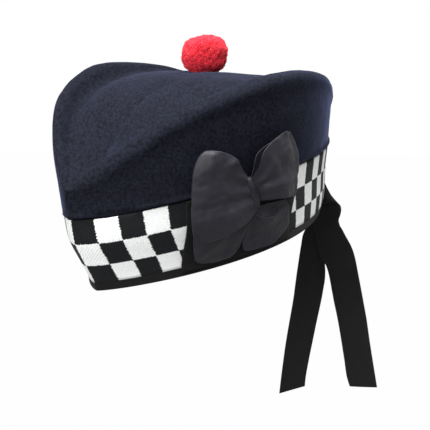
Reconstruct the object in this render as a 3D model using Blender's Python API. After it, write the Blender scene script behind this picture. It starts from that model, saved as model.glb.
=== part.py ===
# A glengarry: a boat-shaped wool bonnet with a diced band, a ribbon bow on its
# left side, a pompom on the crown and two ribbon tails at the back.
# Metres, +Z up. The front of the hat faces -Y and the wearer's left is +X.
# The origin is the middle of the head opening, in the plane of its rim, where
# the head carries the hat. The hat is pitched forward about it, as it is worn,
# and the tails hang straight down from the back.

import math

import bmesh
import bpy
import numpy as np

# Head opening, and how the hat sits
RIM_HALF_WIDTH = 0.0638
RIM_HALF_LENGTH = 0.1217
RIM_ARCH = 0.0059            # how far the rim rises over the ears
WORN_PITCH = math.radians(10.0)
PROW_POWER = 0.79            # how bluntly the plan narrows to its front point
STERN_POWER = 1.03           # and to its back point

# Cloth, and the clearance between pieces that touch
FELT_WALL = 0.0020
BAND_WALL = 0.0014
RIBBON_WALL = 0.0010
GAP = 0.0003
PROW_MITRE = 1.35            # an inset, measured along the length at the front point
STERN_MITRE = 1.65

# Diced band, and the binding folded over the rim below it
BAND_TOP = 0.0506
BINDING_HEIGHT = 0.0056
BINDING_FOLD = 0.0010        # rounding of the binding's lower corner
HEM_EASE = 0.0007            # room in the binding behind the crown's hem
SIDE_FLARE = 0.0080
FRONT_FLARE = 0.0125
BACK_FLARE = 0.0235

# Crown
RIDGE_HALF_WIDTH = 0.0790
RIDGE_FRONT = 0.1348         # how far the two ridges reach from the origin
RIDGE_BACK = 0.1504
RIDGE_PROW = 0.82            # how bluntly they meet at the front
RIDGE_STERN = 1.03           # and at the back
CROWN_HEIGHT = 0.1272        # from the rim's plane to the top of the ridges
CROWN_LEAN = 0.064           # the right ridge is the higher one
CROWN_TWIST = 0.027          # and falls away sooner towards the back
VALLEY_DEPTH = 0.0192        # deepest point of the crease between the ridges
FOLD_DROP = 0.0130           # how far a ridge stands proud of the panel inside it
FOLD_WIDTH = 0.0105
FOLD_ROUND = 0.0040
PANEL_SWELL = 0.0015
WALL_SWELL = 0.0012
WALL_HOLLOW = 2.0            # how much the wall hollows below the ridges' ends
LIP_OVERHANG = 0.0009        # of the crown over the band
LIP_HEIGHT = 0.0038
NECK_DROP = 0.0006           # height of the step between the lip and the band
CROWN_STATIONS = 41

# Pompom
POMPOM_WIDTH = 0.0320
POMPOM_HEIGHT = 0.0285
POMPOM_SET_BACK = 0.0085
POMPOM_SEAT = 0.41           # its middle above the panel, as a share of its height
POMPOM_LOCKS = 70
LOCK_DEPTH = 0.0016

# Side ribbon and bow: places are along the hat's length and up from the rim
RIBBON_FRONT = -0.0845
RIBBON_BACK = 0.0040
KNOT_ALONG = -0.0460
KNOT_UP = 0.0465
KNOT_LENGTH = 0.0150
KNOT_WIDTH = 0.0190
KNOT_DEPTH = 0.0130
KNOT_END = 0.25              # how far round from its poles the knot's flat ends are
BOW_SPAN = 0.0430            # from the knot's middle to the far end of a loop
BOW_RIBBON = 0.0560          # the bow's ribbon where it opens widest
LOBE_ROUND = 0.18            # how far a lobe's corners fall short of its middle
LOBE_OPENING = 0.6           # below 1 a lobe widens early on its way out
LOOP_MOUTH = 0.30            # half the turn left open where a loop's ends meet the knot
LOOP_PUFF = 0.0090
FLAP_PUFF = 0.0024

# Tied ribbon and tails at the back
TAIL_WIDTH = 0.0245
TAIL_TOP = 0.0036
TAIL_REACH = 0.1471          # from its top down to the longer tail's end
TIE_WIDTH = 0.0290
TIE_HEIGHT = 0.0330
TIE_DEPTH = 0.0070
TIE_NEST = 0.0009            # how far its top, beside the band's very point, moves in past it

WOOL = ("navy wool", (0.010, 0.011, 0.022), 0.95)
DICING = ("diced wool", (0.55, 0.56, 0.56), 0.90)
SATIN = ("black satin", (0.012, 0.012, 0.016), 0.45)
GROSGRAIN = ("black ribbon", (0.010, 0.010, 0.010), 0.80)
RED_YARN = ("red yarn", (0.65, 0.020, 0.035), 0.95)

# The band's outline from the rim up, as shares of BAND_TOP and of the flares
BAND_OUTLINE = (
    ("height", "side", "front", "back"),
    (0.00, 0.00, 0.00, 0.12),
    (0.11, -0.05, 0.04, 0.33),
    (0.37, 0.24, 0.45, 0.55),
    (0.67, 0.66, 0.93, 0.68),
    (1.00, 1.00, 1.00, 0.91),
)

# The crown from its front point (-1) to its back point (1): height is a share
# of CROWN_HEIGHT, valley of VALLEY_DEPTH and the two folds of FOLD_DROP
CROWN_SECTIONS = (
    ("station", "height", "valley", "right_fold", "left_fold"),
    (-1.00, 0.541, 0.00, 0.00, 0.00),
    (-0.90, 0.675, 0.64, 0.54, 0.46),
    (-0.81, 0.758, 1.00, 0.77, 0.54),
    (-0.72, 0.837, 1.00, 0.92, 0.50),
    (-0.62, 0.893, 0.70, 1.00, 0.42),
    (-0.52, 0.932, 0.47, 0.96, 0.35),
    (-0.38, 0.972, 0.32, 0.92, 0.31),
    (-0.24, 1.000, 0.22, 0.92, 0.35),
    (-0.05, 0.992, 0.16, 0.69, 0.46),
    (0.15, 0.955, 0.20, 0.46, 0.58),
    (0.34, 0.903, 0.18, 0.38, 0.58),
    (0.53, 0.836, 0.14, 0.31, 0.46),
    (0.67, 0.789, 0.09, 0.19, 0.31),
    (0.82, 0.704, 0.05, 0.08, 0.12),
    (1.00, 0.644, 0.00, 0.00, 0.00),
)

# The bow's lobes: the far end's place from the knot as shares of BOW_SPAN, the
# ribbon's width there and at the knot as shares of BOW_RIBBON, and the puff
BOW_LOBES = (
    ("name", "along", "up", "width", "throat", "puff"),
    ("bow_loop_front", -0.90, 0.16, 1.00, 0.40, 1.00),
    ("bow_loop_back", 1.00, 0.32, 0.82, 0.44, 0.90),
    ("bow_flap_front", -0.70, -0.72, 0.66, 0.30, 1.00),
    ("bow_flap_back", 0.78, -0.62, 0.54, 0.30, 1.00),
)

# Each tail's two edges from its top to its end: how far beside the hat's middle, as
# shares of TAIL_WIDTH, and how far down, as shares of TAIL_REACH
TAIL_LEFT = (
    ("inner_aside", "inner_down", "outer_aside", "outer_down"),
    (-0.412, 0.000, 0.641, 0.000),
    (-0.339, 0.052, 0.833, 0.041),
    (-0.257, 0.105, 1.020, 0.086),
    (-0.131, 0.167, 1.204, 0.141),
    (0.094, 0.219, 1.310, 0.202),
    (0.249, 0.288, 1.400, 0.273),
    (0.355, 0.378, 1.506, 0.362),
    (0.506, 0.477, 1.645, 0.458),
    (0.669, 0.574, 1.776, 0.555),
    (0.829, 0.683, 1.922, 0.661),
    (0.959, 0.782, 2.057, 0.759),
    (1.143, 0.878, 2.184, 0.856),
)
TAIL_RIGHT = (
    ("inner_aside", "inner_down", "outer_aside", "outer_down"),
    (0.347, 0.000, -0.669, 0.000),
    (0.265, 0.054, -0.837, 0.053),
    (0.159, 0.108, -0.935, 0.111),
    (0.045, 0.171, -1.012, 0.182),
    (0.037, 0.238, -1.086, 0.253),
    (0.024, 0.313, -1.167, 0.333),
    (-0.090, 0.407, -1.261, 0.434),
    (-0.224, 0.509, -1.384, 0.545),
    (-0.347, 0.611, -1.494, 0.656),
    (-0.486, 0.723, -1.600, 0.778),
    (-0.616, 0.825, -1.698, 0.889),
    (-0.718, 0.929, -1.796, 1.000),
)

# The tied ribbon from its bottom to its top: its right and left sides as shares of
# TIE_WIDTH, and its depth as a share of TIE_DEPTH
TIE_OUTLINE = (
    ("height", "right", "left", "depth"),
    (0.00, -0.55, 0.53, 0.50),
    (0.12, -0.52, 0.49, 0.60),
    (0.24, -0.52, 0.54, 0.70),
    (0.42, -0.53, 0.57, 0.80),
    (0.50, -0.50, 0.52, 0.85),
    (0.60, -0.43, 0.41, 0.85),
    (0.72, -0.31, 0.26, 0.75),
    (0.85, -0.22, 0.13, 0.60),
    (1.00, -0.14, 0.01, 0.45),
)


def column(table, name):
    """One column of a table, below its row of names."""
    place = table[0].index(name)
    return np.array([row[place] for row in table[1:]])


def smooth(table, name, where):
    """A table's column as a smooth curve over the table's first column."""
    knots = column(table, table[0][0])
    values = column(table, name)
    steps = np.diff(knots)
    slopes = np.diff(values) / steps
    inner = (slopes[:-1] * steps[1:] + slopes[1:] * steps[:-1]) / (steps[:-1] + steps[1:])
    tangents = np.concatenate([slopes[:1], inner, slopes[-1:]])
    where = np.asarray(where, float)
    i = np.clip(np.searchsorted(knots, where, side="right") - 1, 0, len(steps) - 1)
    t = (where - knots[i]) / steps[i]
    start = (2 * t**3 - 3 * t**2 + 1) * values[i] + (t**3 - 2 * t**2 + t) * steps[i] * tangents[i]
    end = (3 * t**2 - 2 * t**3) * values[i + 1] + (t**3 - t**2) * steps[i] * tangents[i + 1]
    return start + end


def stations(count):
    """Places along the hat from its front (-1) to its back (1), closest together
    at the two ends."""
    return -np.cos(np.linspace(0, np.pi, count))


def boat_plan(station, half_width, prow, stern):
    """Half-width of a plan that narrows to a point at stations -1 and 1."""
    widest = (prow - stern) / (prow + stern)
    fore = ((1 + station) / (1 + widest)) ** prow
    aft = ((1 - station) / (1 - widest)) ** stern
    return half_width * fore * aft


def rim_rise(y):
    """How far the rim's arch lifts the band at a place along the hat."""
    return RIM_ARCH * (1 - np.clip(np.abs(y) / RIM_HALF_LENGTH, 0, 1) ** 2)


def band_reach(height, inset=0.0):
    """Half-width, front reach and back reach of the band at a height."""
    share = height / BAND_TOP
    half_width = RIM_HALF_WIDTH + SIDE_FLARE * smooth(BAND_OUTLINE, "side", share) - inset
    front = RIM_HALF_LENGTH + FRONT_FLARE * smooth(BAND_OUTLINE, "front", share)
    back = RIM_HALF_LENGTH + BACK_FLARE * smooth(BAND_OUTLINE, "back", share)
    return half_width, front - inset * PROW_MITRE, back - inset * STERN_MITRE


def band_middle():
    """The two heights where the band's outline turns."""
    return column(BAND_OUTLINE, "height")[2:4] * BAND_TOP


def band_line(height, station, inset=0.0):
    """The band's left side at a height: x, y and z at each station."""
    half_width, front, back = band_reach(height, inset)
    x = boat_plan(station, half_width, PROW_POWER, STERN_POWER)
    y = (back - front) / 2 + (back + front) / 2 * station
    return np.stack([x, y, height + rim_rise(y)], axis=-1)


def ridge_station(y):
    """The station of the ridges at a place along the hat."""
    return (2 * y - RIDGE_BACK + RIDGE_FRONT) / (RIDGE_BACK + RIDGE_FRONT)


def ridge_line(station, side):
    """The top of the left (side 1) or right (side -1) ridge, as half-widths."""
    x = boat_plan(station, RIDGE_HALF_WIDTH, RIDGE_PROW, RIDGE_STERN)
    y = (RIDGE_BACK - RIDGE_FRONT) / 2 + (RIDGE_BACK + RIDGE_FRONT) / 2 * station
    z = CROWN_HEIGHT * smooth(CROWN_SECTIONS, "height", station)
    z = z + side * x * (CROWN_TWIST * station - CROWN_LEAN)
    return x, y, z


def fold_foot(station, side):
    """Where the ridge's inner face meets the panel, and how far down it is."""
    x = ridge_line(station, side)[0]
    fold = smooth(CROWN_SECTIONS, "left_fold" if side > 0 else "right_fold", station)
    return np.maximum(x - FOLD_WIDTH, x / 3), FOLD_DROP * fold


def panel_line(station, side, share):
    """The top panel, from its middle (share 0) to the foot of a ridge (1)."""
    x, y, ridge = ridge_line(station, side)
    foot, drop = fold_foot(station, side)
    middle = CROWN_HEIGHT * smooth(CROWN_SECTIONS, "height", station)
    middle = middle - VALLEY_DEPTH * smooth(CROWN_SECTIONS, "valley", station)
    swell = PANEL_SWELL * np.clip(x / (3 * FOLD_WIDTH), 0, 1) * np.sin(np.pi * share)
    z = middle + (ridge - drop - middle) * share**1.15 + swell
    return np.stack([foot * share, y, z], axis=-1)


def lip_line(station, height):
    """The crown's lower edge, which overhangs the band."""
    line = band_line(BAND_TOP, station)
    half_width, front, back = band_reach(BAND_TOP)
    middle = (back - front) / 2
    x = line[:, 0] * (1 + LIP_OVERHANG / half_width)
    y = middle + (line[:, 1] - middle) * (1 + 2 * LIP_OVERHANG / (front + back))
    return np.stack([x, y, line[:, 2] + height], axis=-1)


def wall_hollow(share, station):
    """How far out the wall has come at a share of its height from the lip to the
    ridge: evenly at the hat's middle, late towards its two ends."""
    return share ** (1 + WALL_HOLLOW * station**2)


def crown_side(station, side):
    """Half of the crown's sections: the hem, up the wall, over the ridge and in
    to the middle of the top panel."""
    under = BAND_WALL + GAP
    x, y, top = ridge_line(station, side)
    foot, drop = fold_foot(station, side)
    near_tip = np.clip(x / (3 * FOLD_WIDTH), 0, 1)
    round_off = FOLD_ROUND * near_tip
    hem = (RIBBON_WALL + GAP, BINDING_HEIGHT, *band_middle(), BAND_TOP - GAP)
    rows = [band_line(height, station, under) for height in hem]
    rows += [lip_line(station, NECK_DROP), lip_line(station, LIP_HEIGHT)]
    shoulder = np.stack([x + 0.2 * round_off, y, top - 2.5 * round_off], axis=-1)
    swell = WALL_SWELL * np.clip(1 + station, 0, 1)
    lip = rows[-1]
    for share in (0.30, 0.58, 0.82):
        out = wall_hollow(share, station)
        rows.append(np.stack([
            lip[:, 0] * (1 - out) + shoulder[:, 0] * out + swell * near_tip * math.sin(math.pi * share),
            lip[:, 1] * (1 - out) + shoulder[:, 1] * out,
            lip[:, 2] * (1 - share) + shoulder[:, 2] * share], axis=-1))
    rows.append(shoulder)
    rows.append(np.stack([x + 0.15 * round_off, y, top - round_off], axis=-1))
    rows.append(np.stack([x - 0.55 * round_off, y, top], axis=-1))
    inner = x * 0.45 + foot * 0.55
    rows.append(np.stack([inner, y, top - 0.42 * drop - 0.1 * round_off], axis=-1))
    rows += [panel_line(station, side, share) for share in (1.0, 0.68, 0.34, 0.0)]
    return np.stack(rows, axis=1)


def side_wall(y, z):
    """Half-width of the hat's left wall at a place along it and a height."""
    height = z - rim_rise(y)
    half_width, front, back = band_reach(np.clip(height, 0, BAND_TOP))
    station = (y - (back - front) / 2) / ((back + front) / 2)
    band = boat_plan(station, half_width, PROW_POWER, STERN_POWER)
    x, _, top = ridge_line(ridge_station(y), 1)
    share = np.clip((height - BAND_TOP) / (top - rim_rise(y) - BAND_TOP), 0, 1)
    over = np.clip((height - BAND_TOP) / LIP_HEIGHT + 1, 0, 1)
    swell = LIP_OVERHANG * over + WALL_SWELL * np.sin(np.pi * share)
    out = wall_hollow(share, station)
    return band * (1 - out) + x * out + swell


def on_side(y, z, stand):
    """Points that stand off the left wall by the given distances."""
    step = 0.001
    along = (side_wall(y + step, z) - side_wall(y - step, z)) / (2 * step)
    up = (side_wall(y, z + step) - side_wall(y, z - step)) / (2 * step)
    length = np.sqrt(1 + along**2 + up**2)
    x = side_wall(y, z) + stand / length
    return np.stack([x, y - along * stand / length, z - up * stand / length], axis=-1)


def material(finish):
    """A material with a finish's colour and roughness, made once."""
    name, colour, roughness = finish
    made = bpy.data.materials.get(name)
    if made is None:
        made = bpy.data.materials.new(name)
        made.use_nodes = True
        shader = made.node_tree.nodes["Principled BSDF"]
        shader.inputs["Base Color"].default_value = (*colour, 1.0)
        shader.inputs["Roughness"].default_value = roughness
        shader.inputs["Metallic"].default_value = 0.0
    return made


def add_object(name, points, faces, finish, carrier=None, closed=True):
    """An object from points and faces, with points that coincide made one."""
    mesh = bpy.data.meshes.new(name)
    mesh.from_pydata(np.reshape(points, (-1, 3)).tolist(), [], faces)
    work = bmesh.new()
    work.from_mesh(mesh)
    bmesh.ops.remove_doubles(work, verts=work.verts, dist=1e-6)
    if closed:
        bmesh.ops.recalc_face_normals(work, faces=work.faces)
    work.to_mesh(mesh)
    work.free()
    mesh.materials.append(material(finish))
    mesh.shade_smooth()
    mesh.set_sharp_from_angle(angle=math.radians(50))
    made = bpy.data.objects.new(name, mesh)
    bpy.context.collection.objects.link(made)
    made.parent = carrier
    return made


def grid_faces(rows, columns, around_rows=False, around_columns=False):
    """Quads of a grid of points, which may close on itself either way."""
    faces = []
    for i in range(rows if around_rows else rows - 1):
        for j in range(columns if around_columns else columns - 1):
            below, right = (i + 1) % rows, (j + 1) % columns
            faces.append((i * columns + j, below * columns + j,
                          below * columns + right, i * columns + right))
    return faces


def sheet(name, grid, wall, offset, finish, carrier=None):
    """A cloth sheet: a grid of points given a wall's thickness."""
    rows, columns, _ = grid.shape
    made = add_object(name, grid, grid_faces(rows, columns), finish, carrier, closed=False)
    thicken = made.modifiers.new("cloth wall", "SOLIDIFY")
    thicken.thickness = wall
    thicken.offset = offset
    thicken.use_even_offset = True
    return made


def ring(name, profile, finish, carrier):
    """A closed band round the hat, from a closed profile of insets and heights."""
    station = stations(CROWN_STATIONS)
    lines = np.stack([band_line(height, station, inset) for inset, height in profile], axis=1)
    back_again = lines[-2:0:-1] * (-1, 1, 1)
    loops = np.concatenate([lines, back_again])
    faces = grid_faces(*loops.shape[:2], around_rows=True, around_columns=True)
    return add_object(name, loops, faces, finish, carrier)


def capped_loft(name, loops, finish, carrier=None):
    """A solid through a stack of closed loops, with a face on each end."""
    count, points, _ = loops.shape
    faces = grid_faces(count, points, around_columns=True)
    faces.append(tuple(range(points)))
    last = (count - 1) * points
    faces.append(tuple(last + i for i in reversed(range(points))))
    return add_object(name, loops, faces, finish, carrier)


def make_crown(carrier):
    station = stations(CROWN_STATIONS)
    left = crown_side(station, 1)
    right = crown_side(station, -1) * (-1, 1, 1)
    across = np.concatenate([left, right[:, -2::-1]], axis=1)
    return sheet("crown", across, FELT_WALL, -1.0, WOOL, carrier)


def make_band(carrier):
    bottom = BINDING_HEIGHT + GAP
    top = BAND_TOP - 3 * GAP
    heights = (bottom, *band_middle(), top)
    profile = [(0.0, height) for height in heights]
    profile += [(BAND_WALL, height) for height in reversed(heights)]
    return ring("diced_band", profile, DICING, carrier)


def make_binding(carrier):
    pocket = BAND_WALL + GAP + FELT_WALL + HEM_EASE
    inside = pocket + RIBBON_WALL
    profile = (
        (BINDING_FOLD, 0.0),
        (0.0, BINDING_FOLD),
        (0.0, BINDING_HEIGHT),
        (BAND_WALL, BINDING_HEIGHT),
        (BAND_WALL, RIBBON_WALL),
        (pocket, RIBBON_WALL),
        (pocket, BINDING_HEIGHT),
        (inside, BINDING_HEIGHT),
        (inside, BINDING_FOLD),
        (inside - BINDING_FOLD, 0.0),
    )
    return ring("binding", profile, GROSGRAIN, carrier)


def make_side_ribbon(carrier):
    y, height = np.meshgrid(np.linspace(RIBBON_FRONT, RIBBON_BACK, 15),
                            np.linspace(BINDING_HEIGHT / 2, BAND_TOP - 2 * GAP, 5), indexing="ij")
    grid = on_side(y, height + rim_rise(y), 2 * GAP + RIBBON_WALL / 2)
    return sheet("side_ribbon", grid, RIBBON_WALL, 0.0, GROSGRAIN, carrier)


def lobe_grid(row, along, stand):
    """A lobe's ribbon: rows run out from the knot by the given shares, and
    columns across the ribbon's width."""
    lobe = dict(zip(BOW_LOBES[0], row))
    out = np.array([lobe["along"], lobe["up"]])
    span = BOW_SPAN * np.linalg.norm(out)
    out = out / np.linalg.norm(out)
    across = np.array([-out[1], out[0]])
    clear = KNOT_LENGTH / 2 + 2 * GAP
    opening = lobe["throat"] + (lobe["width"] - lobe["throat"]) * along**LOBE_OPENING
    spread = np.linspace(-0.5, 0.5, 7)
    reach = clear + (span - clear) * np.outer(along, 1 - LOBE_ROUND * (2 * spread) ** 2)
    offset = BOW_RIBBON * np.outer(opening, spread)
    y = KNOT_ALONG + out[0] * reach + across[0] * offset
    z = KNOT_UP + out[1] * reach + across[1] * offset
    return on_side(y, z, np.broadcast_to(stand[:, None], y.shape))


def make_bow(carrier):
    ribbon_face = 2 * GAP + RIBBON_WALL
    flap_base = ribbon_face + 3 * GAP + RIBBON_WALL / 2
    loop_base = flap_base + FLAP_PUFF + 2 * GAP + RIBBON_WALL
    for row in BOW_LOBES[1:]:
        name, puff = row[0], row[-1]
        if name.startswith("bow_loop"):
            turn = np.linspace(LOOP_MOUTH, 2 * np.pi - LOOP_MOUTH, 15)
            along = (1 - np.cos(turn)) / 2
            along = (along - along[0]) / (along.max() - along[0])
            stand = loop_base + LOOP_PUFF * puff * (0.5 + 0.5 * np.sin(turn))
        else:
            along = np.linspace(0, 1, 8)
            stand = flap_base + FLAP_PUFF * puff * np.sin(np.pi * along) ** 2
        sheet(name, lobe_grid(row, along, stand), RIBBON_WALL, 0.0, SATIN, carrier)
    rows, sides = 7, 14
    polar = np.linspace(KNOT_END, np.pi - KNOT_END, rows)[:, None]
    angle = np.linspace(0, 2 * np.pi, sides, endpoint=False)[None, :]
    y = KNOT_ALONG + KNOT_LENGTH / 2 * np.sin(polar) * np.cos(angle)
    z = KNOT_UP + KNOT_WIDTH / 2 * np.sin(polar) * np.sin(angle)
    stand = ribbon_face + GAP + KNOT_DEPTH / 2 * (1 + np.cos(polar)) + 0 * angle
    capped_loft("bow_knot", on_side(y, z, stand), SATIN, carrier)


def make_pompom(carrier):
    """A ball of yarn whose surface rises in locks, flat where it sits."""
    work = bmesh.new()
    bmesh.ops.create_icosphere(work, subdivisions=4, radius=1.0)
    turn = np.arange(POMPOM_LOCKS)
    height = 1 - 2 * (turn + 0.5) / POMPOM_LOCKS
    golden = np.pi * (3 - math.sqrt(5)) * turn
    ring_radius = np.sqrt(1 - height**2)
    locks = np.stack([ring_radius * np.cos(golden), ring_radius * np.sin(golden), height], axis=1)
    length = 0.75 + 0.25 * np.sin(5.3 * turn)
    seat = panel_line(ridge_station(np.array([POMPOM_SET_BACK])), 1, 0.0)
    middle = seat[0] + (0, 0, POMPOM_SEAT * POMPOM_HEIGHT)
    work.verts.ensure_lookup_table()
    directions = np.array([vert.co[:] for vert in work.verts])
    spread = np.sqrt(4 * math.pi / POMPOM_LOCKS) / 2
    apart = np.arccos(np.clip(directions @ locks.T, -1, 1))
    lift = (np.clip(1 - (apart / spread) ** 2, 0, 1) * length).max(axis=1)
    size = np.array([POMPOM_WIDTH / 2, POMPOM_WIDTH / 2, POMPOM_HEIGHT / 2]) - LOCK_DEPTH
    points = middle + directions * (size + LOCK_DEPTH * lift[:, None])
    station = ridge_station(points[:, 1])
    for side in (1, -1):
        foot = fold_foot(station, side)[0]
        share = np.clip(points[:, 0] * side / foot, 0, 1)
        floor = panel_line(station, side, share)[:, 2] + 2 * GAP
        here = points[:, 0] * side >= 0
        points[here, 2] = np.maximum(points[here, 2], floor[here])
    faces = [[vert.index for vert in face.verts] for face in work.faces]
    work.free()
    return add_object("pompom", points, faces, RED_YARN, carrier)


def stern_place(height):
    """Where the band's back point is, once the hat is pitched forward."""
    y, z = band_reach(height)[2], height
    return (y * math.cos(WORN_PITCH) - z * math.sin(WORN_PITCH),
            y * math.sin(WORN_PITCH) + z * math.cos(WORN_PITCH))


def make_tie():
    """The tied ribbon, hung on the band's back point, and the plane it hangs in."""
    top = TAIL_TOP + GAP + TIE_HEIGHT
    heights = np.linspace(0, BAND_TOP, 60)
    stern = np.array([stern_place(height) for height in heights])
    top_depth = TIE_DEPTH / 2 * smooth(TIE_OUTLINE, "depth", 1.0)
    plane = np.interp(top, stern[:, 1], stern[:, 0]) + GAP + top_depth - TIE_NEST
    angle = np.linspace(0, 2 * np.pi, 14, endpoint=False)
    loops = []
    for share in np.linspace(0, 1, 8):
        right, left = (TIE_WIDTH * smooth(TIE_OUTLINE, side, share) for side in ("right", "left"))
        deep = TIE_DEPTH / 2 * smooth(TIE_OUTLINE, "depth", share)
        x = (left + right) / 2 + (left - right) / 2 * np.cos(angle)
        y = plane + deep * np.sin(angle)
        z = np.full_like(x, TAIL_TOP + GAP + TIE_HEIGHT * share)
        loops.append(np.stack([x, y, z], axis=-1))
    capped_loft("tail_tie", np.array(loops), GROSGRAIN)
    return plane


def make_tails(plane):
    """Two flat ribbons that fan out as they hang, one behind the other."""
    for name, side, table in (("tail_left", 1.0, TAIL_LEFT), ("tail_right", -1.0, TAIL_RIGHT)):
        inner, outer = (np.stack([TAIL_WIDTH * column(table, edge + "_aside"),
                                  TAIL_TOP - TAIL_REACH * column(table, edge + "_down")], axis=-1)[:, None]
                        for edge in ("inner", "outer"))
        flat = inner + (outer - inner) * np.linspace(0, 1, 3)[None, :, None]
        y = np.full(flat.shape[:2], plane - side * (RIBBON_WALL / 2 + GAP))
        grid = np.stack([flat[..., 0], y, flat[..., 1]], axis=-1)
        sheet(name, grid, RIBBON_WALL, 0.0, GROSGRAIN)


def build():
    for old in list(bpy.data.objects):
        bpy.data.objects.remove(old, do_unlink=True)
    seat = bpy.data.objects.new("head_seat", None)
    seat.rotation_euler.x = WORN_PITCH
    bpy.context.collection.objects.link(seat)
    make_crown(seat)
    make_band(seat)
    make_binding(seat)
    make_side_ribbon(seat)
    make_bow(seat)
    make_pompom(seat)
    make_tails(make_tie())
    bpy.context.view_layer.update()


build()
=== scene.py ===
# A glengarry in navy wool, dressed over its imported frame.
# Metres. The hat faces -Y, the wearer's left is +X, the origin is the middle of the head opening.
# Shapes are worked out in the hat's own frame, then pitched forward as it is worn.

import math

import bmesh
import bpy
import numpy as np
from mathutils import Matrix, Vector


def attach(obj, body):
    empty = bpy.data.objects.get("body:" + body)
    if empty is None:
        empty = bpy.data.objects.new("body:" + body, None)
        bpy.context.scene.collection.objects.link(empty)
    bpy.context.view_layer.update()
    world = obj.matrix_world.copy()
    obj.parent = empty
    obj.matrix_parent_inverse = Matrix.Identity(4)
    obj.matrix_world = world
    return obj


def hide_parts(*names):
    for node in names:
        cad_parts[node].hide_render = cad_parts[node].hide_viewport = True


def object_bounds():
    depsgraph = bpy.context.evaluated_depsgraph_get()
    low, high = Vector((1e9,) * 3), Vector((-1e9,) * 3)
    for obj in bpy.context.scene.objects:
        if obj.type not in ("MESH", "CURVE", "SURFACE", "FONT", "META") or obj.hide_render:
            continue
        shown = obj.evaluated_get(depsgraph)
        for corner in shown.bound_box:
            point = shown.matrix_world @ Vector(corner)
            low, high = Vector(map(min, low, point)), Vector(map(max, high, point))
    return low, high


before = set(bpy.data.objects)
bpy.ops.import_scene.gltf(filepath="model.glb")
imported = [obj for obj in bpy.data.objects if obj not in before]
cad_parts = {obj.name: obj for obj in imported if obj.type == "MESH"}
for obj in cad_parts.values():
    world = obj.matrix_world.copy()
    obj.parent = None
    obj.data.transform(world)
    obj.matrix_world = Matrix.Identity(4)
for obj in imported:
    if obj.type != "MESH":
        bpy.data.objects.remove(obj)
cadBox = [list(corner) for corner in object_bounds()]
mm = 0.001

# the whole hat's sizes, as in the frame
hat = {
    "pitch": math.radians(10.0),
    "rimHalfWidth": 63.8 * mm,
    "rimHalfLength": 121.7 * mm,
    "rimArch": 5.9 * mm,
    "prowPower": 0.79,
    "sternPower": 1.03,
    "bandTop": 50.6 * mm,
    "sideFlare": 8.0 * mm,
    "frontFlare": 12.5 * mm,
    "backFlare": 23.5 * mm,
    "prowMitre": 1.35,
    "sternMitre": 1.65,
    "bindingHeight": 5.6 * mm,
    "feltWall": 2.0 * mm,
    "bandWall": 1.4 * mm,
    "ribbonWall": 1.0 * mm,
    "gap": 0.3 * mm,
}

# the band's outline from the rim up: heights as shares of bandTop, the rest as shares of the flares
bandOutline = {
    "height": (0.00, 0.11, 0.37, 0.67, 1.00),
    "side": (0.00, -0.05, 0.24, 0.66, 1.00),
    "front": (0.00, 0.04, 0.45, 0.93, 1.00),
    "back": (0.12, 0.33, 0.55, 0.68, 0.91),
}


def smoothCurve(knots, values, where):
    # a smooth curve through values at rising knots: a cubic between each two, with
    # the slope at a knot weighed from the slopes on its two sides
    knots = np.asarray(knots, float)
    values = np.asarray(values, float)
    where = np.asarray(where, float)
    span = np.diff(knots).reshape((-1,) + (1,) * (values.ndim - 1))
    rise = np.diff(values, axis=0) / span
    inner = (rise[:-1] * span[1:] + rise[1:] * span[:-1]) / (span[:-1] + span[1:])
    slope = np.concatenate([rise[:1], inner, rise[-1:]])
    i = np.clip(np.searchsorted(knots, where, side="right") - 1, 0, len(knots) - 2)
    t = ((where - knots[i]) / np.diff(knots)[i]).reshape(where.shape + (1,) * (values.ndim - 1))
    start = (2 * t**3 - 3 * t**2 + 1) * values[i] + (t**3 - 2 * t**2 + t) * span[i] * slope[i]
    end = (3 * t**2 - 2 * t**3) * values[i + 1] + (t**3 - t**2) * span[i] * slope[i + 1]
    return start + end


def easeBetween(low, high, value):
    # 0 below low, 1 above high, and 3s^2 - 2s^3 between them
    s = np.clip((value - low) / (high - low), 0, 1)
    return s * s * (3 - 2 * s)


def runningSum(steps):
    # nought, and then the sum so far
    return np.concatenate([np.zeros_like(steps[:1]), np.cumsum(steps, axis=0)])


def wayAlong(points):
    # the distance along a line of points, or down each column of a grid
    return runningSum(np.linalg.norm(np.diff(points, axis=0), axis=-1))


def unit(vectors):
    # each vector over its own length
    return vectors / np.linalg.norm(vectors, axis=-1, keepdims=True)


def asPoints(*parts):
    # arrays of coordinates, spread to one shape, as one array of points
    return np.stack(np.broadcast_arrays(*parts), axis=-1)


def fromTable(table, name, where):
    # a smooth curve through a table's column, over its first one
    return smoothCurve(table[next(iter(table))], table[name], where)


def fullTurn(count):
    # angles once round, as a row
    return np.linspace(0, 2 * np.pi, count, endpoint=False)[None, :]


def waviness(points, size, seed, waves=14):
    # an uneven surface: the sum of sine waves of about one size in random directions
    pick = np.random.default_rng(seed)
    way = unit(pick.normal(size=(waves, 3)))
    rate = 2 * np.pi / size * pick.uniform(0.6, 1.5, waves)
    phase = pick.uniform(0, 2 * np.pi, waves)
    return np.sin(points @ way.T * rate + phase).sum(axis=-1) / math.sqrt(waves)


def stationsAlong(count):
    # places from the front (-1) to the back (1), spaced as a cosine so the ends are finest
    return -np.cos(np.linspace(0, np.pi, count))


def boatPlan(station, halfWidth, prow, stern):
    # (distance from the front)^prow times (distance from the back)^stern, scaled to its widest
    widest = (prow - stern) / (prow + stern)
    fore = np.clip((1 + station) / (1 + widest), 0, None) ** prow
    aft = np.clip((1 - station) / (1 - widest), 0, None) ** stern
    return halfWidth * fore * aft


def rimRise(y):
    # the rim arches up over the ears as 1 minus the square of the share of the way along
    return hat["rimArch"] * (1 - np.clip(np.abs(y) / hat["rimHalfLength"], 0, 1) ** 2)


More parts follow.
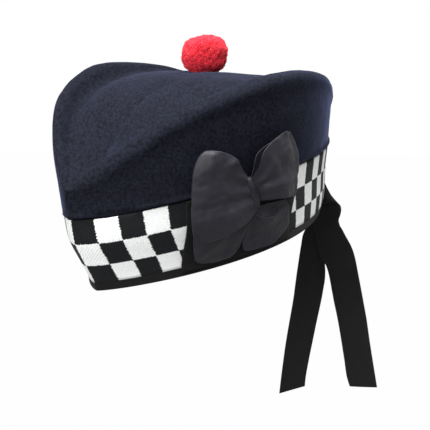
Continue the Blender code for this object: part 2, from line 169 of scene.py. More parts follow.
def bandReach(height, inset=0.0):
    # how far the band reaches to its side, front and back at a height, less an inset
    share = np.asarray(height, float) / hat["bandTop"]
    side, front, back = (fromTable(bandOutline, name, share) for name in ("side", "front", "back"))
    return (hat["rimHalfWidth"] + hat["sideFlare"] * side - inset,
            hat["rimHalfLength"] + hat["frontFlare"] * front - inset * hat["prowMitre"],
            hat["rimHalfLength"] + hat["backFlare"] * back - inset * hat["sternMitre"])


def bandLine(height, station, inset=0.0):
    # the band's left side at a height: the boat plan between its front and back reach
    halfWidth, front, back = bandReach(height, inset)
    x = boatPlan(station, halfWidth, hat["prowPower"], hat["sternPower"])
    y = (back - front) / 2 + (back + front) / 2 * station
    return asPoints(x, y, height + rimRise(y))


def worn(points):
    # the hat's frame to the wearer's: a turn about X that drops the front
    c, s = math.cos(hat["pitch"]), math.sin(hat["pitch"])
    x, y, z = points[..., 0], points[..., 1], points[..., 2]
    return asPoints(x, y * c - z * s, y * s + z * c)


def gridFaces(rows, columns, closed):
    # quads over a grid of points, whose last column is joined to its first where asked
    i = np.arange(rows - 1)[:, None]
    j = np.arange(columns if closed else columns - 1)[None, :]
    here, below, right = i * columns, (i + 1) * columns, (j + 1) % columns
    return asPoints(here + j, below + j, below + right, here + right).reshape(-1, 4).tolist()


def addObject(name, data):
    made = bpy.data.objects.new(name, data)
    bpy.context.scene.collection.objects.link(made)
    return made


def newPiece(name, points, slot, uv=None, faces=None, closed=False, weld=0.0):
    # a piece of the hat from a grid of points, with points nearer than weld merged
    mesh = bpy.data.meshes.new(name)
    mesh.from_pydata(points.reshape(-1, 3).tolist(), [], faces or gridFaces(*points.shape[:2], closed))
    if uv is not None:
        layer = mesh.uv_layers.new(name="cloth")
        corners = np.empty(len(mesh.loops), np.int32)
        mesh.loops.foreach_get("vertex_index", corners)
        layer.data.foreach_set("uv", uv.reshape(-1, 2)[corners].astype(np.float32).ravel())
    if weld:
        work = bmesh.new()
        work.from_mesh(mesh)
        bmesh.ops.remove_doubles(work, verts=work.verts, dist=weld)
        work.to_mesh(mesh)
        work.free()
    mesh.shade_smooth()
    mesh.materials.append(finishes[slot])
    piece = addObject(name, mesh)
    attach(piece, "root")
    return piece


def surfaceArea(grid):
    # the sum of the cross products of each cell's two sides
    a = grid[1:, :-1] - grid[:-1, :-1]
    b = grid[:-1, 1:] - grid[:-1, :-1]
    return float(np.linalg.norm(np.cross(a, b), axis=-1).sum())


def makeCloth(piece, node, wall, offset, grid, flat, held, **rests):
    # gives a sheet its wall, and hides the frame's part that it stands for; how it is cut and what holds it
    # are not used
    solid = piece.modifiers.new("cloth wall", "SOLIDIFY")
    solid.thickness = wall
    solid.offset = offset
    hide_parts(node)


# Materials

def newMaterial(name):
    made = bpy.data.materials.new(name)
    made.use_nodes = True
    tree = made.node_tree
    return made, tree, tree.nodes["Principled BSDF"]


def addNode(tree, kind, inputs, **settings):
    # a node with its settings, each input joined to an output or given a value
    node = tree.nodes.new("ShaderNode" + kind)
    for key, value in settings.items():
        setattr(node, key, value)
    for key, value in inputs.items():
        if isinstance(value, bpy.types.NodeSocket):
            tree.links.new(value, node.inputs[key])
        else:
            node.inputs[key].default_value = value
    return node.outputs


def mathNode(tree, operation, a, b=0.0, c=0.0):
    return addNode(tree, "Math", {0: a, 1: b, 2: c}, operation=operation)[0]


def mixColours(tree, share, first, second):
    return addNode(tree, "Mix", {0: share, 6: first, 7: second}, data_type="RGBA")[2]


def ramp(tree, value, low, high, start=0.0, end=1.0):
    return addNode(tree, "MapRange", {0: value, 1: low, 2: high, 3: start, 4: end})[0]


def noise(tree, place, scale, detail, roughness=0.5):
    given = {"Vector": place, "Scale": scale, "Detail": detail, "Roughness": roughness}
    return addNode(tree, "TexNoise", given)


def objectPlace(tree):
    return addNode(tree, "TexCoord", {})["Object"]


def uvPlace(tree):
    return addNode(tree, "UVMap", {}, uv_map="cloth")["UV"]


def newGroup(name, sizes, outputs):
    # a node group that is given a place and some sizes, and puts out numbers
    group = bpy.data.node_groups.new(name, "ShaderNodeTree")
    group.interface.new_socket("Place", in_out="INPUT", socket_type="NodeSocketVector")
    for label in (*sizes, *outputs):
        way = "INPUT" if label in sizes else "OUTPUT"
        socket = group.interface.new_socket(label, in_out=way, socket_type="NodeSocketFloat")
        socket.default_value = sizes.get(label, 0.0)
    return group, group.nodes.new("NodeGroupInput").outputs


def putOut(group, values):
    out = group.nodes.new("NodeGroupOutput")
    for label, value in values.items():
        group.links.new(value, out.inputs[label])
    return group


def buildNapGroup():
    # fine fibres that lie along one direction over a coarse mottle: the place is drawn
    # together along the lay, so that the noise is longer that way
    sizes = {"Fibre size": 520.0, "Mottle size": 60.0}
    group, given = newGroup("wool nap", sizes, ("Mottle", "Fibres", "Height"))
    lay = (-0.653, 0.757, 0.0)
    drawnBy = -0.6
    along = addNode(group, "VectorMath", {0: given["Place"], 1: lay}, operation="DOT_PRODUCT")[1]
    back = mathNode(group, "MULTIPLY", along, drawnBy)
    shift = addNode(group, "VectorMath", {0: lay, 3: back}, operation="SCALE")[0]
    drawn = addNode(group, "VectorMath", {0: given["Place"], 1: shift}, operation="ADD")[0]
    mottle = noise(group, given["Place"], given["Mottle size"], 3.0, 0.6)["Fac"]
    fibres = noise(group, drawn, given["Fibre size"], 2.0, 0.6)["Fac"]
    height = mathNode(group, "MULTIPLY_ADD", mottle, 0.5, fibres)
    return putOut(group, {"Mottle": mottle, "Fibres": fibres, "Height": height})


def buildRibGroup():
    # ribs across a woven ribbon, from its own UV in metres: a raised cosine along its
    # length, crossed by the fine threads that bind it
    group, given = newGroup("ribbon ribs", {"Rib": 0.0008, "Thread": 0.0004}, ("Height", "Ribs"))
    parts = addNode(group, "SeparateXYZ", {0: given["Place"]})

    def raisedCosine(way, size):
        turn = mathNode(group, "MULTIPLY", mathNode(group, "DIVIDE", way, size), 2 * math.pi)
        return mathNode(group, "MULTIPLY_ADD", mathNode(group, "COSINE", turn), 0.5, 0.5)

    ribs = raisedCosine(parts["Y"], given["Rib"])
    threads = raisedCosine(parts["X"], given["Thread"])
    return putOut(group, {"Height": mathNode(group, "MULTIPLY_ADD", threads, 0.35, ribs), "Ribs": ribs})


napGroup = buildNapGroup()
ribGroup = buildRibGroup()


def finishCloth(tree, shader, look, colour, height=None):
    # the colour and the bump from the cloth's own pattern, the rest as plain values
    tree.links.new(colour, shader.inputs["Base Color"])
    if height is not None:
        bump = addNode(tree, "Bump", {**look["bump"], "Height": height})
        tree.links.new(bump[0], shader.inputs["Normal"])
    for socket, value in look["shader"].items():
        shader.inputs[socket].default_value = value


wool = {
    "colour": (0.0022, 0.0024, 0.0038, 1),
    "paler": (0.0134, 0.0148, 0.0252, 1),
    "bump": {"Strength": 0.8, "Distance": 0.00025},
    "specks": (0.27, 0.73),         # the paler colour comes in between these
    "shader": {"Roughness": 0.95, "Specular IOR Level": 0.08, "Sheen Weight": 0.17,
               "Sheen Roughness": 0.30, "Sheen Tint": (0.44, 0.51, 0.98, 1)},
}


def woolMaterial():
    # from the darker colour to the paler one by the fibres and a little of the mottle
    made, tree, shader = newMaterial("navy wool")
    nap = addNode(tree, "Group", {"Place": objectPlace(tree)}, node_tree=napGroup)
    mottle = mathNode(tree, "MULTIPLY", nap["Mottle"], 0.2)
    speck = mathNode(tree, "MULTIPLY_ADD", nap["Fibres"], 0.8, mottle)
    colour = mixColours(tree, ramp(tree, speck, *wool["specks"]), wool["colour"], wool["paler"])
    finishCloth(tree, shader, wool, colour, nap["Height"])
    return made


dicing = {
    "checkWidth": 15.3 * mm,
    "rowHeights": (5.6 * mm, 18.5 * mm, 34.0 * mm, 50.6 * mm),
    "drift": (0.18, 0.10, 0.00, -0.10),     # how far the uprights lean back at those heights, in checks
    "gridRows": 22,
    "countedRow": 12,
    "flat": (0.045, 0.64),
    "white": (0.95, 0.96, 0.95, 1),
    # whiteShade is the white painted in the twill's grooves (painted shade), blackPaler the black painted
    # on its ribs (painted light)
    "whiteShade": (0.70, 0.72, 0.71, 1),
    "black": (0.0042, 0.0048, 0.0056, 1),
    "blackPaler": (0.0112, 0.0122, 0.0140, 1),
    "teeth": 9.0,           # stepped stitches along a check's edge
    "toothDepth": 0.055,
    "sway": 0.10,           # how far a whole edge wanders, and the size of that
    "swayScale": 4.0,
    "twill": 7.5,           # slanting ribs across a check, and how they lean either way
    "twillLean": (1.05, -1.15),
    "fibreSize": 1000.0,
    "bump": {"Strength": 0.7, "Distance": 0.0003},
    "shader": {"Roughness": 0.9, "Specular IOR Level": 0.15, "Sheen Weight": 0.05},
}


def dicedMaterial():
    # checks from the band's UV: u counts checks round the band and v counts rows, the
    # colour is the parity of the two, and each edge steps in and out by a stitch
    made, tree, shader = newMaterial("diced wool")
    parts = addNode(tree, "SeparateXYZ", {0: uvPlace(tree)})
    u, v = parts["X"], parts["Y"]
    loose = noise(tree, uvPlace(tree), dicing["swayScale"], 2.0)["Color"]
    uneven = addNode(tree, "SeparateColor", {0: loose})

    def calc(*values):
        return mathNode(tree, *values)

    def zigzag(place):
        # 1 at whole numbers, and evenly down to 0 halfway between two of them
        return calc("ABSOLUTE", calc("MULTIPLY_ADD", calc("FRACT", place), 2.0, -1.0))

    def stepped(along, across, depth):
        # a zigzag whose teeth are unevenly long and deep
        tooth = zigzag(calc("MULTIPLY_ADD", across, dicing["teeth"], calc("MULTIPLY", uneven[1], 2.0)))
        deep = calc("MULTIPLY", calc("MULTIPLY", uneven[2], 2.0), depth)
        return calc("MULTIPLY_ADD", calc("SUBTRACT", tooth, 0.5), deep, along)

    def slanted(lean):
        # ribs that lean across a check, lowest between two of them
        return zigzag(calc("MULTIPLY", calc("MULTIPLY_ADD", v, lean, u), dicing["twill"]))

    sway = calc("MULTIPLY_ADD", uneven[0], dicing["sway"], -dicing["sway"] / 2)
    uEdge = calc("ADD", stepped(u, v, dicing["toothDepth"]), sway)
    vEdge = calc("ADD", stepped(v, u, dicing["toothDepth"] * 0.7), calc("MULTIPLY", sway, 0.6))
    total = calc("ADD", calc("FLOOR", uEdge), calc("FLOOR", vEdge))
    odd = calc("GREATER_THAN", calc("FRACT", calc("MULTIPLY", total, 0.5)), 0.25)
    weave, crossed = (slanted(lean) for lean in dicing["twillLean"])
    weave = calc("MULTIPLY", weave, calc("MULTIPLY_ADD", crossed, 0.6, 0.4))
    given = {"Place": objectPlace(tree), "Fibre size": dicing["fibreSize"]}
    nap = addNode(tree, "Group", given, node_tree=napGroup)
    # painted shade and light: each check is painted darker in the twill's grooves and paler on its ribs,
    # with the fibres' own random tone besides
    twillShadeAndFibres = calc("MULTIPLY_ADD", weave, 0.5, calc("MULTIPLY_ADD", nap["Fibres"], 1.2, -0.3))
    share = ramp(tree, twillShadeAndFibres, 0.1, 0.75)
    white = mixColours(tree, share, dicing["whiteShade"], dicing["white"])
    black = mixColours(tree, share, dicing["black"], dicing["blackPaler"])
    height = calc("MULTIPLY_ADD", odd, 0.9, calc("ADD", weave, calc("MULTIPLY", nap["Fibres"], 0.6)))
    finishCloth(tree, shader, dicing, mixColours(tree, odd, black, white), height)
    return made


ribbons = {
    "black satin": {
        "colour": (0.0070, 0.0066, 0.0112, 1), "paler": (0.0152, 0.0146, 0.0235, 1), "roughness": 0.52,
        "rib": 0.00045, "thread": 0.00035, "bump": {"Strength": 0.8, "Distance": 0.00004},
        "shader": {"Specular IOR Level": 0.36, "Sheen Weight": 0.03}},
    "black ribbon": {
        "colour": (0.0045, 0.0045, 0.0047, 1), "paler": (0.0096, 0.0096, 0.0100, 1), "roughness": 0.85,
        "rib": 0.00085, "thread": 0.0005, "bump": {"Strength": 0.8, "Distance": 0.00016},
        "shader": {"Specular IOR Level": 0.14, "Sheen Weight": 0.05}},
}


def ribbonMaterial(name):
    # paler and rougher where a soft noise has rubbed it, and paler on its ribs as a painted highlight
    look = ribbons[name]
    made, tree, shader = newMaterial(name)
    given = {"Place": uvPlace(tree), "Rib": look["rib"], "Thread": look["thread"]}
    ribs = addNode(tree, "Group", given, node_tree=ribGroup)
    rubScale = 60.0
    rub = noise(tree, objectPlace(tree), rubScale, 4.0)["Fac"]
    # the noise is rubbed wear; the ribs' share paints a highlight on their tops
    share = mathNode(tree, "MULTIPLY_ADD", rub, 0.7, mathNode(tree, "MULTIPLY", ribs["Ribs"], 0.4))
    colour = mixColours(tree, ramp(tree, share, 0.3, 0.9), look["colour"], look["paler"])
    finishCloth(tree, shader, look, colour, ribs["Height"])
    rough = ramp(tree, rub, 0.3, 0.7, look["roughness"] - 0.06, look["roughness"] + 0.08)
    tree.links.new(rough, shader.inputs["Roughness"])
    return made


yarn = {
    "colour": (0.84, 0.036, 0.060, 1),
    # painted shade: the darker red that stands for the shade on the strands' roots and on the heart, deep
    # in the pompom
    "paintedRootShade": (0.70, 0.018, 0.034, 1),
    "tip": (0.88, 0.060, 0.092, 1),
    "shader": {"Roughness": 0.9, "Specular IOR Level": 0.15, "Sheen Weight": 0.15,
               "Sheen Roughness": 0.5, "Sheen Tint": (1.0, 0.55, 0.55, 1)},
}


def yarnMaterial():
    # painted shade: darker at a strand's root, deep in the pompom, than at its tip, from its own UV, with
    # each strand a random tone apart
    made, tree, shader = newMaterial("red yarn")
    parts = addNode(tree, "SeparateXYZ", {0: uvPlace(tree)})
    strand = mixColours(tree, parts["X"], yarn["colour"], yarn["tip"])
    finishCloth(tree, shader, yarn, mixColours(tree, parts["Y"], yarn["paintedRootShade"], strand))
    return made


finishes = {
    "navy_wool": woolMaterial(),
    "diced_wool": dicedMaterial(),
    "black_satin": ribbonMaterial("black satin"),
    "black_ribbon": ribbonMaterial("black ribbon"),
    "red_yarn": yarnMaterial(),
}
print("materials made:", len(finishes))


# Crown

crown = {
    "ridgeHalfWidth": 79.0 * mm,
    "ridgeFront": 134.8 * mm,
    "ridgeBack": 150.4 * mm,
    "ridgeProw": 0.82,
    "ridgeStern": 1.03,
    "height": 127.2 * mm,
    "lean": 0.064,          # the right ridge is the higher one
    "twist": 0.027,
    "valleyDepth": 19.2 * mm,
    "foldDrop": 13.0 * mm,
    "foldWidth": 11.5 * mm,
    # the left ridge's and the right one's: how far below its top a ridge starts to round
    # off, and how far it then reaches in and out
    "rollHeight": (5.6 * mm, 6.0 * mm),
    "rollIn": (7.0 * mm, 1.5 * mm),
    "rollOut": (3.5 * mm, 0.8 * mm),
    "tuck": 1.6 * mm,       # how far the wall draws in just below the left ridge's roll
    "panelSwell": 1.0 * mm,
    "wallSwell": 1.2 * mm,
    "wallHollow": 2.0,
    "lipOverhang": 0.9 * mm,
    "lipHeight": 3.8 * mm,
    # places up the wall, over a ridge's roll (share of its width, share of its height below
    # the top), down its inner slope (the same) and in over the top panel
    "wallPlaces": (0.30, 0.58, 0.82),
    "rollPlaces": ((0.0, 1.0), (0.06, 0.60), (0.22, 0.30), (0.55, 0.09), (1.0, 0.0)),
    "slopePlaces": ((0.35, 0.09), (0.65, 0.32), (0.88, 0.70)),
    "panelPlaces": (0.97, 0.68, 0.34, 0.0),
    "neckDrop": 0.6 * mm,
    "stations": 165,
    "across": 250,
    "hidden": 0.35,         # share of the columns that the part under the band gets
    "uneven": ((34 * mm, 0.35 * mm, 3), (15 * mm, 0.175 * mm, 4)),     # sizes, heights and seeds
    "unevenUp": 0.6,
    "unevenOut": 0.5,
    "softBefore": -117.0 * mm,      # the front tip's points, which are evened out
    "softAbove": 28.5 * mm,
    "softPasses": 60,
    "flat": (0.34, 0.36),
}

# from the front point (-1) to the back point (1): heights as shares of the crown's
# height, the valley of its depth, the two folds of the fold's drop, and what each ridge
# rises besides in mm
crownSections = {
    "station": (-1.00, -0.90, -0.81, -0.72, -0.62, -0.52, -0.38, -0.24,
                -0.05, 0.15, 0.34, 0.53, 0.67, 0.82, 1.00),
    "height": (0.541, 0.675, 0.758, 0.837, 0.893, 0.932, 0.972, 1.000,
               0.992, 0.955, 0.903, 0.836, 0.789, 0.704, 0.644),
    "valley": (0.00, 0.64, 1.00, 1.00, 0.70, 0.47, 0.32, 0.22, 0.16, 0.20, 0.18, 0.14, 0.09, 0.05, 0.00),
    "rightFold": (0.00, 0.54, 0.77, 0.92, 1.00, 0.96, 0.92, 0.92, 0.69, 0.46, 0.38, 0.31, 0.19, 0.08, 0.00),
    "leftFold": (0.00, 0.46, 0.54, 0.50, 0.42, 0.35, 0.31, 0.35, 0.46, 0.58, 0.58, 0.46, 0.31, 0.12, 0.00),
    "leftRise": (0.0, 0.0, 0.0, 0.0, 0.0, 0.0, -0.3, -0.8, 0.0, 1.1, 1.2, 0.8, 0.3, 0.0, 0.0),
    "rightRise": (0.0, 0.0, 0.0, 0.2, 0.4, 0.6, 0.6, 0.6, 0.9, 0.9, -1.7, -1.5, -0.5, 0.0, 0.0),
}

# the crease along the top panel, from the front: its place to the wearer's left in mm and
# its depth in mm
panelCrease = {
    "station": (-0.93, -0.85, -0.73, -0.56, -0.45, -0.39, -0.34, -0.28, -0.12),
    "x": (3.0, 1.5, 0.0, 0.0, -1.0, 0.0, 4.0, 9.0, 16.0),
    "depth": (0.0, 0.9, 2.0, 2.1, 1.7, 1.3, 0.9, 0.4, 0.0),
    "right": 6.5 * mm,      # how far its two flanks spread
    "left": 2.4 * mm,
}


def section(name, station):
    return fromTable(crownSections, name, station)


def ridgeLine(station, side):
    # the top of the left (1) or right (-1) ridge: a boat plan that leans and twists with its width
    front, back = crown["ridgeFront"], crown["ridgeBack"]
    x = boatPlan(station, crown["ridgeHalfWidth"], crown["ridgeProw"], crown["ridgeStern"])
    y = (back - front) / 2 + (back + front) / 2 * station
    z = crown["height"] * section("height", station) + side * x * (crown["twist"] * station - crown["lean"])
    return x, y, z + section("leftRise" if side > 0 else "rightRise", station) * mm


def ridgeStation(y):
    # the station at a place along the hat
    return (2 * y - crown["ridgeBack"] + crown["ridgeFront"]) / (crown["ridgeBack"] + crown["ridgeFront"])


def foldFoot(station, side):
    # where a ridge's inner slope ends: a fold's width in, and its own drop below the ridge
    x = ridgeLine(station, side)[0]
    fold = section("leftFold" if side > 0 else "rightFold", station)
    return np.maximum(x - crown["foldWidth"], x / 3), crown["foldDrop"] * fold


def panelLine(station, side, share):
    # the top panel between its middle (0) and the foot of a ridge (1): a rise as share^1.15
    # with a half sine of swell on it
    x, y, ridge = ridgeLine(station, side)
    foot, drop = foldFoot(station, side)
    middle = crown["height"] * section("height", station)
    middle = middle - crown["valleyDepth"] * section("valley", station)
    swell = crown["panelSwell"] * np.clip(x / (3 * crown["foldWidth"]), 0, 1) * np.sin(np.pi * share)
    return asPoints(foot * share, y, middle + (ridge - drop - middle) * share**1.15 + swell)


def lipLine(station, height):
    # the crown's lower edge outside the band: the band's top line, a little larger all round
    line = bandLine(hat["bandTop"], station)
    halfWidth, front, back = bandReach(hat["bandTop"])
    middle = (back - front) / 2
    x = line[:, 0] * (1 + crown["lipOverhang"] / halfWidth)
    y = middle + (line[:, 1] - middle) * (1 + 2 * crown["lipOverhang"] / (front + back))
    return asPoints(x, y, line[:, 2] + height)


def crownRows(station, side):
    # half of each section as rows of points: the hem, up the wall, over the ridge, and in
    # to the middle
    under = hat["bandWall"] + hat["gap"]
    x, y, top = ridgeLine(station, side)
    foot, drop = foldFoot(station, side)
    nearTip = np.clip(x / (3 * crown["foldWidth"]), 0, 1)
    nearEdge = np.clip(x / (1.3 * crown["foldWidth"]), 0, 1)
    rise, inward, outward = (crown[name][0 if side > 0 else 1] * nearEdge
                             for name in ("rollHeight", "rollIn", "rollOut"))
    fade = 1 - 0.8 * easeBetween(0.1, 0.7, station)
    outward = outward * fade
    tuck = crown["tuck"] * fade * nearTip if side > 0 else 0 * fade
    hem = (hat["ribbonWall"] + hat["gap"], hat["bindingHeight"],
           *(share * hat["bandTop"] for share in bandOutline["height"][2:4]), hat["bandTop"] - hat["gap"])
    rows = [bandLine(height, station, under) for height in hem]
    rows += [lipLine(station, crown["neckDrop"]), lipLine(station, crown["lipHeight"])]
    lip = rows[-1]
    shoulder = asPoints(x + outward, y, top - rise)
    for share in crown["wallPlaces"]:
        out = share ** (1 + crown["wallHollow"] * station**2)
        swell = crown["wallSwell"] * np.clip(1 + station, 0, 1) * nearTip * math.sin(math.pi * share)
        swell = swell - tuck * share**4
        rows.append(asPoints(lip[:, 0] * (1 - out) + shoulder[:, 0] * out + swell,
                             lip[:, 1] * (1 - out) + shoulder[:, 1] * out,
                             lip[:, 2] * (1 - share) + shoulder[:, 2] * share))
    for over, below in crown["rollPlaces"]:
        rows.append(asPoints(x + outward - (outward + inward) * over, y, top - rise * below))
    crest = x - inward
    for share, fall in crown["slopePlaces"]:
        rows.append(asPoints(crest + (foot - crest) * share, y, top - fall * drop))
    rows += [panelLine(station, side, share) for share in crown["panelPlaces"]]
    return np.stack(rows, axis=1)


def crownGrid():
    # both halves joined, then each section drawn again as a smooth curve through its rows
    station = stationsAlong(crown["stations"])
    left = crownRows(station, 1)
    right = crownRows(station, -1) * (-1, 1, 1)
    rows = np.concatenate([left, right[:, -2::-1]], axis=1)
    step = np.linalg.norm(np.diff(rows, axis=1), axis=2).mean(axis=0) ** 0.7
    underBand = 5
    step[:underBand] *= crown["hidden"]
    step[-underBand:] *= crown["hidden"]
    step = 0.5 * (step + step[::-1])    # alike on both sides, so that the seams at the tips close
    knots = runningSum(step)
    where = np.linspace(0, knots[-1], crown["across"])
    grid = np.swapaxes(smoothCurve(knots, np.swapaxes(rows, 0, 1), where), 0, 1)

    # cloth is never quite even: a soft unevenness away from the hem and the tips
    hem = 0.5 * (knots[3] + knots[4]) / knots[-1]
    way = where / knots[-1]
    free = easeBetween(hem / 2, hem, way) * easeBetween(hem / 2, hem, 1 - way)
    ends = easeBetween(-1.0, -0.93, station) * easeBetween(-1.0, -0.93, -station)
    lift = sum(height * waviness(grid, size, seed) for size, height, seed in crown["uneven"])
    lift = lift * free[None, :] * ends[:, None]
    grid[..., 2] += lift * crown["unevenUp"]
    grid[..., 0] += lift * crown["unevenOut"] * np.sign(grid[..., 0])

    # the crease: its depth falls off to both sides as e to the minus distance over flank
    first, last = panelCrease["station"][0], panelCrease["station"][-1]
    within = np.clip(station, first, last)
    aside, depth = (fromTable(panelCrease, name, within) * mm for name in ("x", "depth"))
    off = grid[..., 0] - aside[:, None]
    flank = np.where(off > 0, panelCrease["left"], panelCrease["right"])
    onTop = grid[..., 2] > hat["bandTop"] + 10 * mm
    grid[..., 2] -= np.where(onTop, depth[:, None] * np.exp(-np.abs(off) / flank), 0)
    return grid


def softenTip(mesh):
    # evens out the points round the front tip, where the two ridges run together
    work = bmesh.new()
    work.from_mesh(mesh)
    near = [v for v in work.verts if v.co.y < crown["softBefore"] and v.co.z > crown["softAbove"]]
    for _ in range(crown["softPasses"]):
        bmesh.ops.smooth_vert(work, verts=near, factor=0.5,
                              use_axis_x=True, use_axis_y=True, use_axis_z=True)
    work.to_mesh(mesh)
    work.free()
    mesh.shade_smooth()


def buildCrown():
    grid = worn(crownGrid())
    piece = newPiece("wool_crown", grid, "navy_wool", weld=1e-6)
    softenTip(piece.data)
    makeCloth(piece, "crown", hat["feltWall"], -1.0, grid, crown["flat"], "gathered")


buildCrown()
print("crown made")


# Diced band and binding

def ringGrid(heights, insets, count=200):
    # the left side from front to back and the right side back again, one closed loop per height
    station = stationsAlong(count)
    lines = np.stack([bandLine(height, station, inset) for height, inset in zip(heights, insets)], axis=1)
    return np.concatenate([lines, lines[-2:0:-1] * (-1, 1, 1), lines[:1]])


def buildBand():
    low, high = hat["bindingHeight"] + hat["gap"], hat["bandTop"] - 3 * hat["gap"]
    heights = np.linspace(low, high, dicing["gridRows"])
    loops = ringGrid(heights, np.zeros(dicing["gridRows"]))
    rows = dicing["rowHeights"]
    # checks are counted along the band's middle, up the left side from the front point and
    # down the right one, and the uprights lean a little
    way = wayAlong(loops)[:, dicing["countedRow"]] / dicing["checkWidth"]
    signed = np.where(np.arange(len(way)) <= len(way) // 2, way, way - way[-1])[:, None]
    drift = smoothCurve(rows, dicing["drift"], heights)[None, :]
    u = signed - np.sign(signed) * drift * easeBetween(0.0, 1.5, np.abs(signed))
    v = smoothCurve(rows, (3.0, 2.0, 1.0, 0.0), heights)
    uv = asPoints(u, v)
    grid = worn(loops)
    piece = newPiece("diced_strip", grid, "diced_wool", uv=uv)
    makeCloth(piece, "diced_band", hat["bandWall"], -1.0, grid, dicing["flat"], "stretched",
              rests_on=["wool_crown"])
    print("checks on each side:", round(float(way[len(way) // 2]), 2))


binding = {"fold": 1.0 * mm, "hemEase": 0.7 * mm, "thickness": 0.8 * mm, "flat": (0.017, 0.57)}


def buildBinding():
    # a ribbon folded round the hem: up its outside, round its lower edge and up its inside
    pocket = hat["bandWall"] + hat["gap"] + hat["feltWall"] + binding["hemEase"]
    inside = pocket + hat["ribbonWall"]
    turn = np.linspace(0, np.pi / 2, 7)
    fold = binding["fold"]
    profile = [(0.0, height) for height in np.linspace(hat["bindingHeight"], fold, 7)[:-1]]
    profile += [(fold - fold * math.cos(t), fold - fold * math.sin(t)) for t in turn]
    profile += [(inside - fold + fold * math.sin(t), fold - fold * math.cos(t)) for t in turn]
    profile += [(inside, height) for height in np.linspace(fold, hat["bindingHeight"], 7)[1:]]
    profile = np.array(profile)
    loops = ringGrid(profile[:, 1], profile[:, 0])
    way = wayAlong(loops)
    uv = asPoints(wayAlong(profile), way[:, :1])
    grid = worn(loops)
    piece = newPiece("rim_binding", grid[:, ::-1], "black_ribbon", uv=uv[:, ::-1])
    makeCloth(piece, "binding", binding["thickness"], -1.0, grid, binding["flat"], "folded",
              rests_on=["wool_crown"])


buildBand()
buildBinding()
print("band and binding made")


# Side ribbon and bow

def sideWall(y, z):
    # half-width of the left wall at a place along the hat and a height: the band's plan
    # below its top, and between the band's top and the ridge above it
    height = z - rimRise(y)
    halfWidth, front, back = bandReach(np.clip(height, 0, hat["bandTop"]))
    station = (y - (back - front) / 2) / ((back + front) / 2)
    band = boatPlan(station, halfWidth, hat["prowPower"], hat["sternPower"])
    x, _, top = ridgeLine(ridgeStation(y), 1)
    share = np.clip((height - hat["bandTop"]) / (top - rimRise(y) - hat["bandTop"]), 0, 1)
    over = np.clip((height - hat["bandTop"]) / crown["lipHeight"] + 1, 0, 1)
    swell = crown["lipOverhang"] * over + crown["wallSwell"] * np.sin(np.pi * share)
    out = share ** (1 + crown["wallHollow"] * station**2)
    return band * (1 - out) + x * out + swell


def onSide(y, z, stand, step=1 * mm):
    # points that stand off the left wall, along its normal from its slopes both ways
    along = (sideWall(y + step, z) - sideWall(y - step, z)) / (2 * step)
    up = (sideWall(y, z + step) - sideWall(y, z - step)) / (2 * step)
    length = np.sqrt(1 + along**2 + up**2)
    return asPoints(sideWall(y, z) + stand / length, y - along * stand / length, z - up * stand / length)


sideRibbon = {
    "front": -84.5 * mm,
    "heights": (2.8, 12.0, 23.0, 39.0, 50.0),      # mm up from the rim
    "back": (1.0, 1.5, 4.0, 8.0, 8.0),             # mm along the hat, its back edge at those heights
    "ripple": 0.5 * mm,
    "ripples": 3.5,
    "rippleLean": 2.2,
    "grid": (90, 40),
    "thickness": 0.7 * mm,
    "flat": (0.092, 0.048),
}


def buildSideRibbon():
    # the side's surface between a straight front edge and a curved back one, with soft ripples
    across, up = np.meshgrid(*(np.linspace(0, 1, count) for count in sideRibbon["grid"]), indexing="ij")
    heights = np.array(sideRibbon["heights"]) * mm
    height = heights[0] + (heights[-1] - heights[0]) * up
    back = smoothCurve(heights, np.array(sideRibbon["back"]) * mm, height)
    y = sideRibbon["front"] + (back - sideRibbon["front"]) * across
    turn = 2 * sideRibbon["ripples"] * np.pi * across + sideRibbon["rippleLean"] * up
    ripple = sideRibbon["ripple"] * (1 + np.sin(turn)) / 2 * np.sin(np.pi * up)
    stand = 2 * hat["gap"] + hat["ribbonWall"] / 2 + ripple
    grid = worn(onSide(y, height + rimRise(y), stand))
    piece = newPiece("side_ribbon_cloth", grid, "black_ribbon", uv=asPoints(y, height))
    makeCloth(piece, "side_ribbon", sideRibbon["thickness"], 0.0, grid, sideRibbon["flat"], "stretched",
              rests_on=["diced_strip"])


buildSideRibbon()

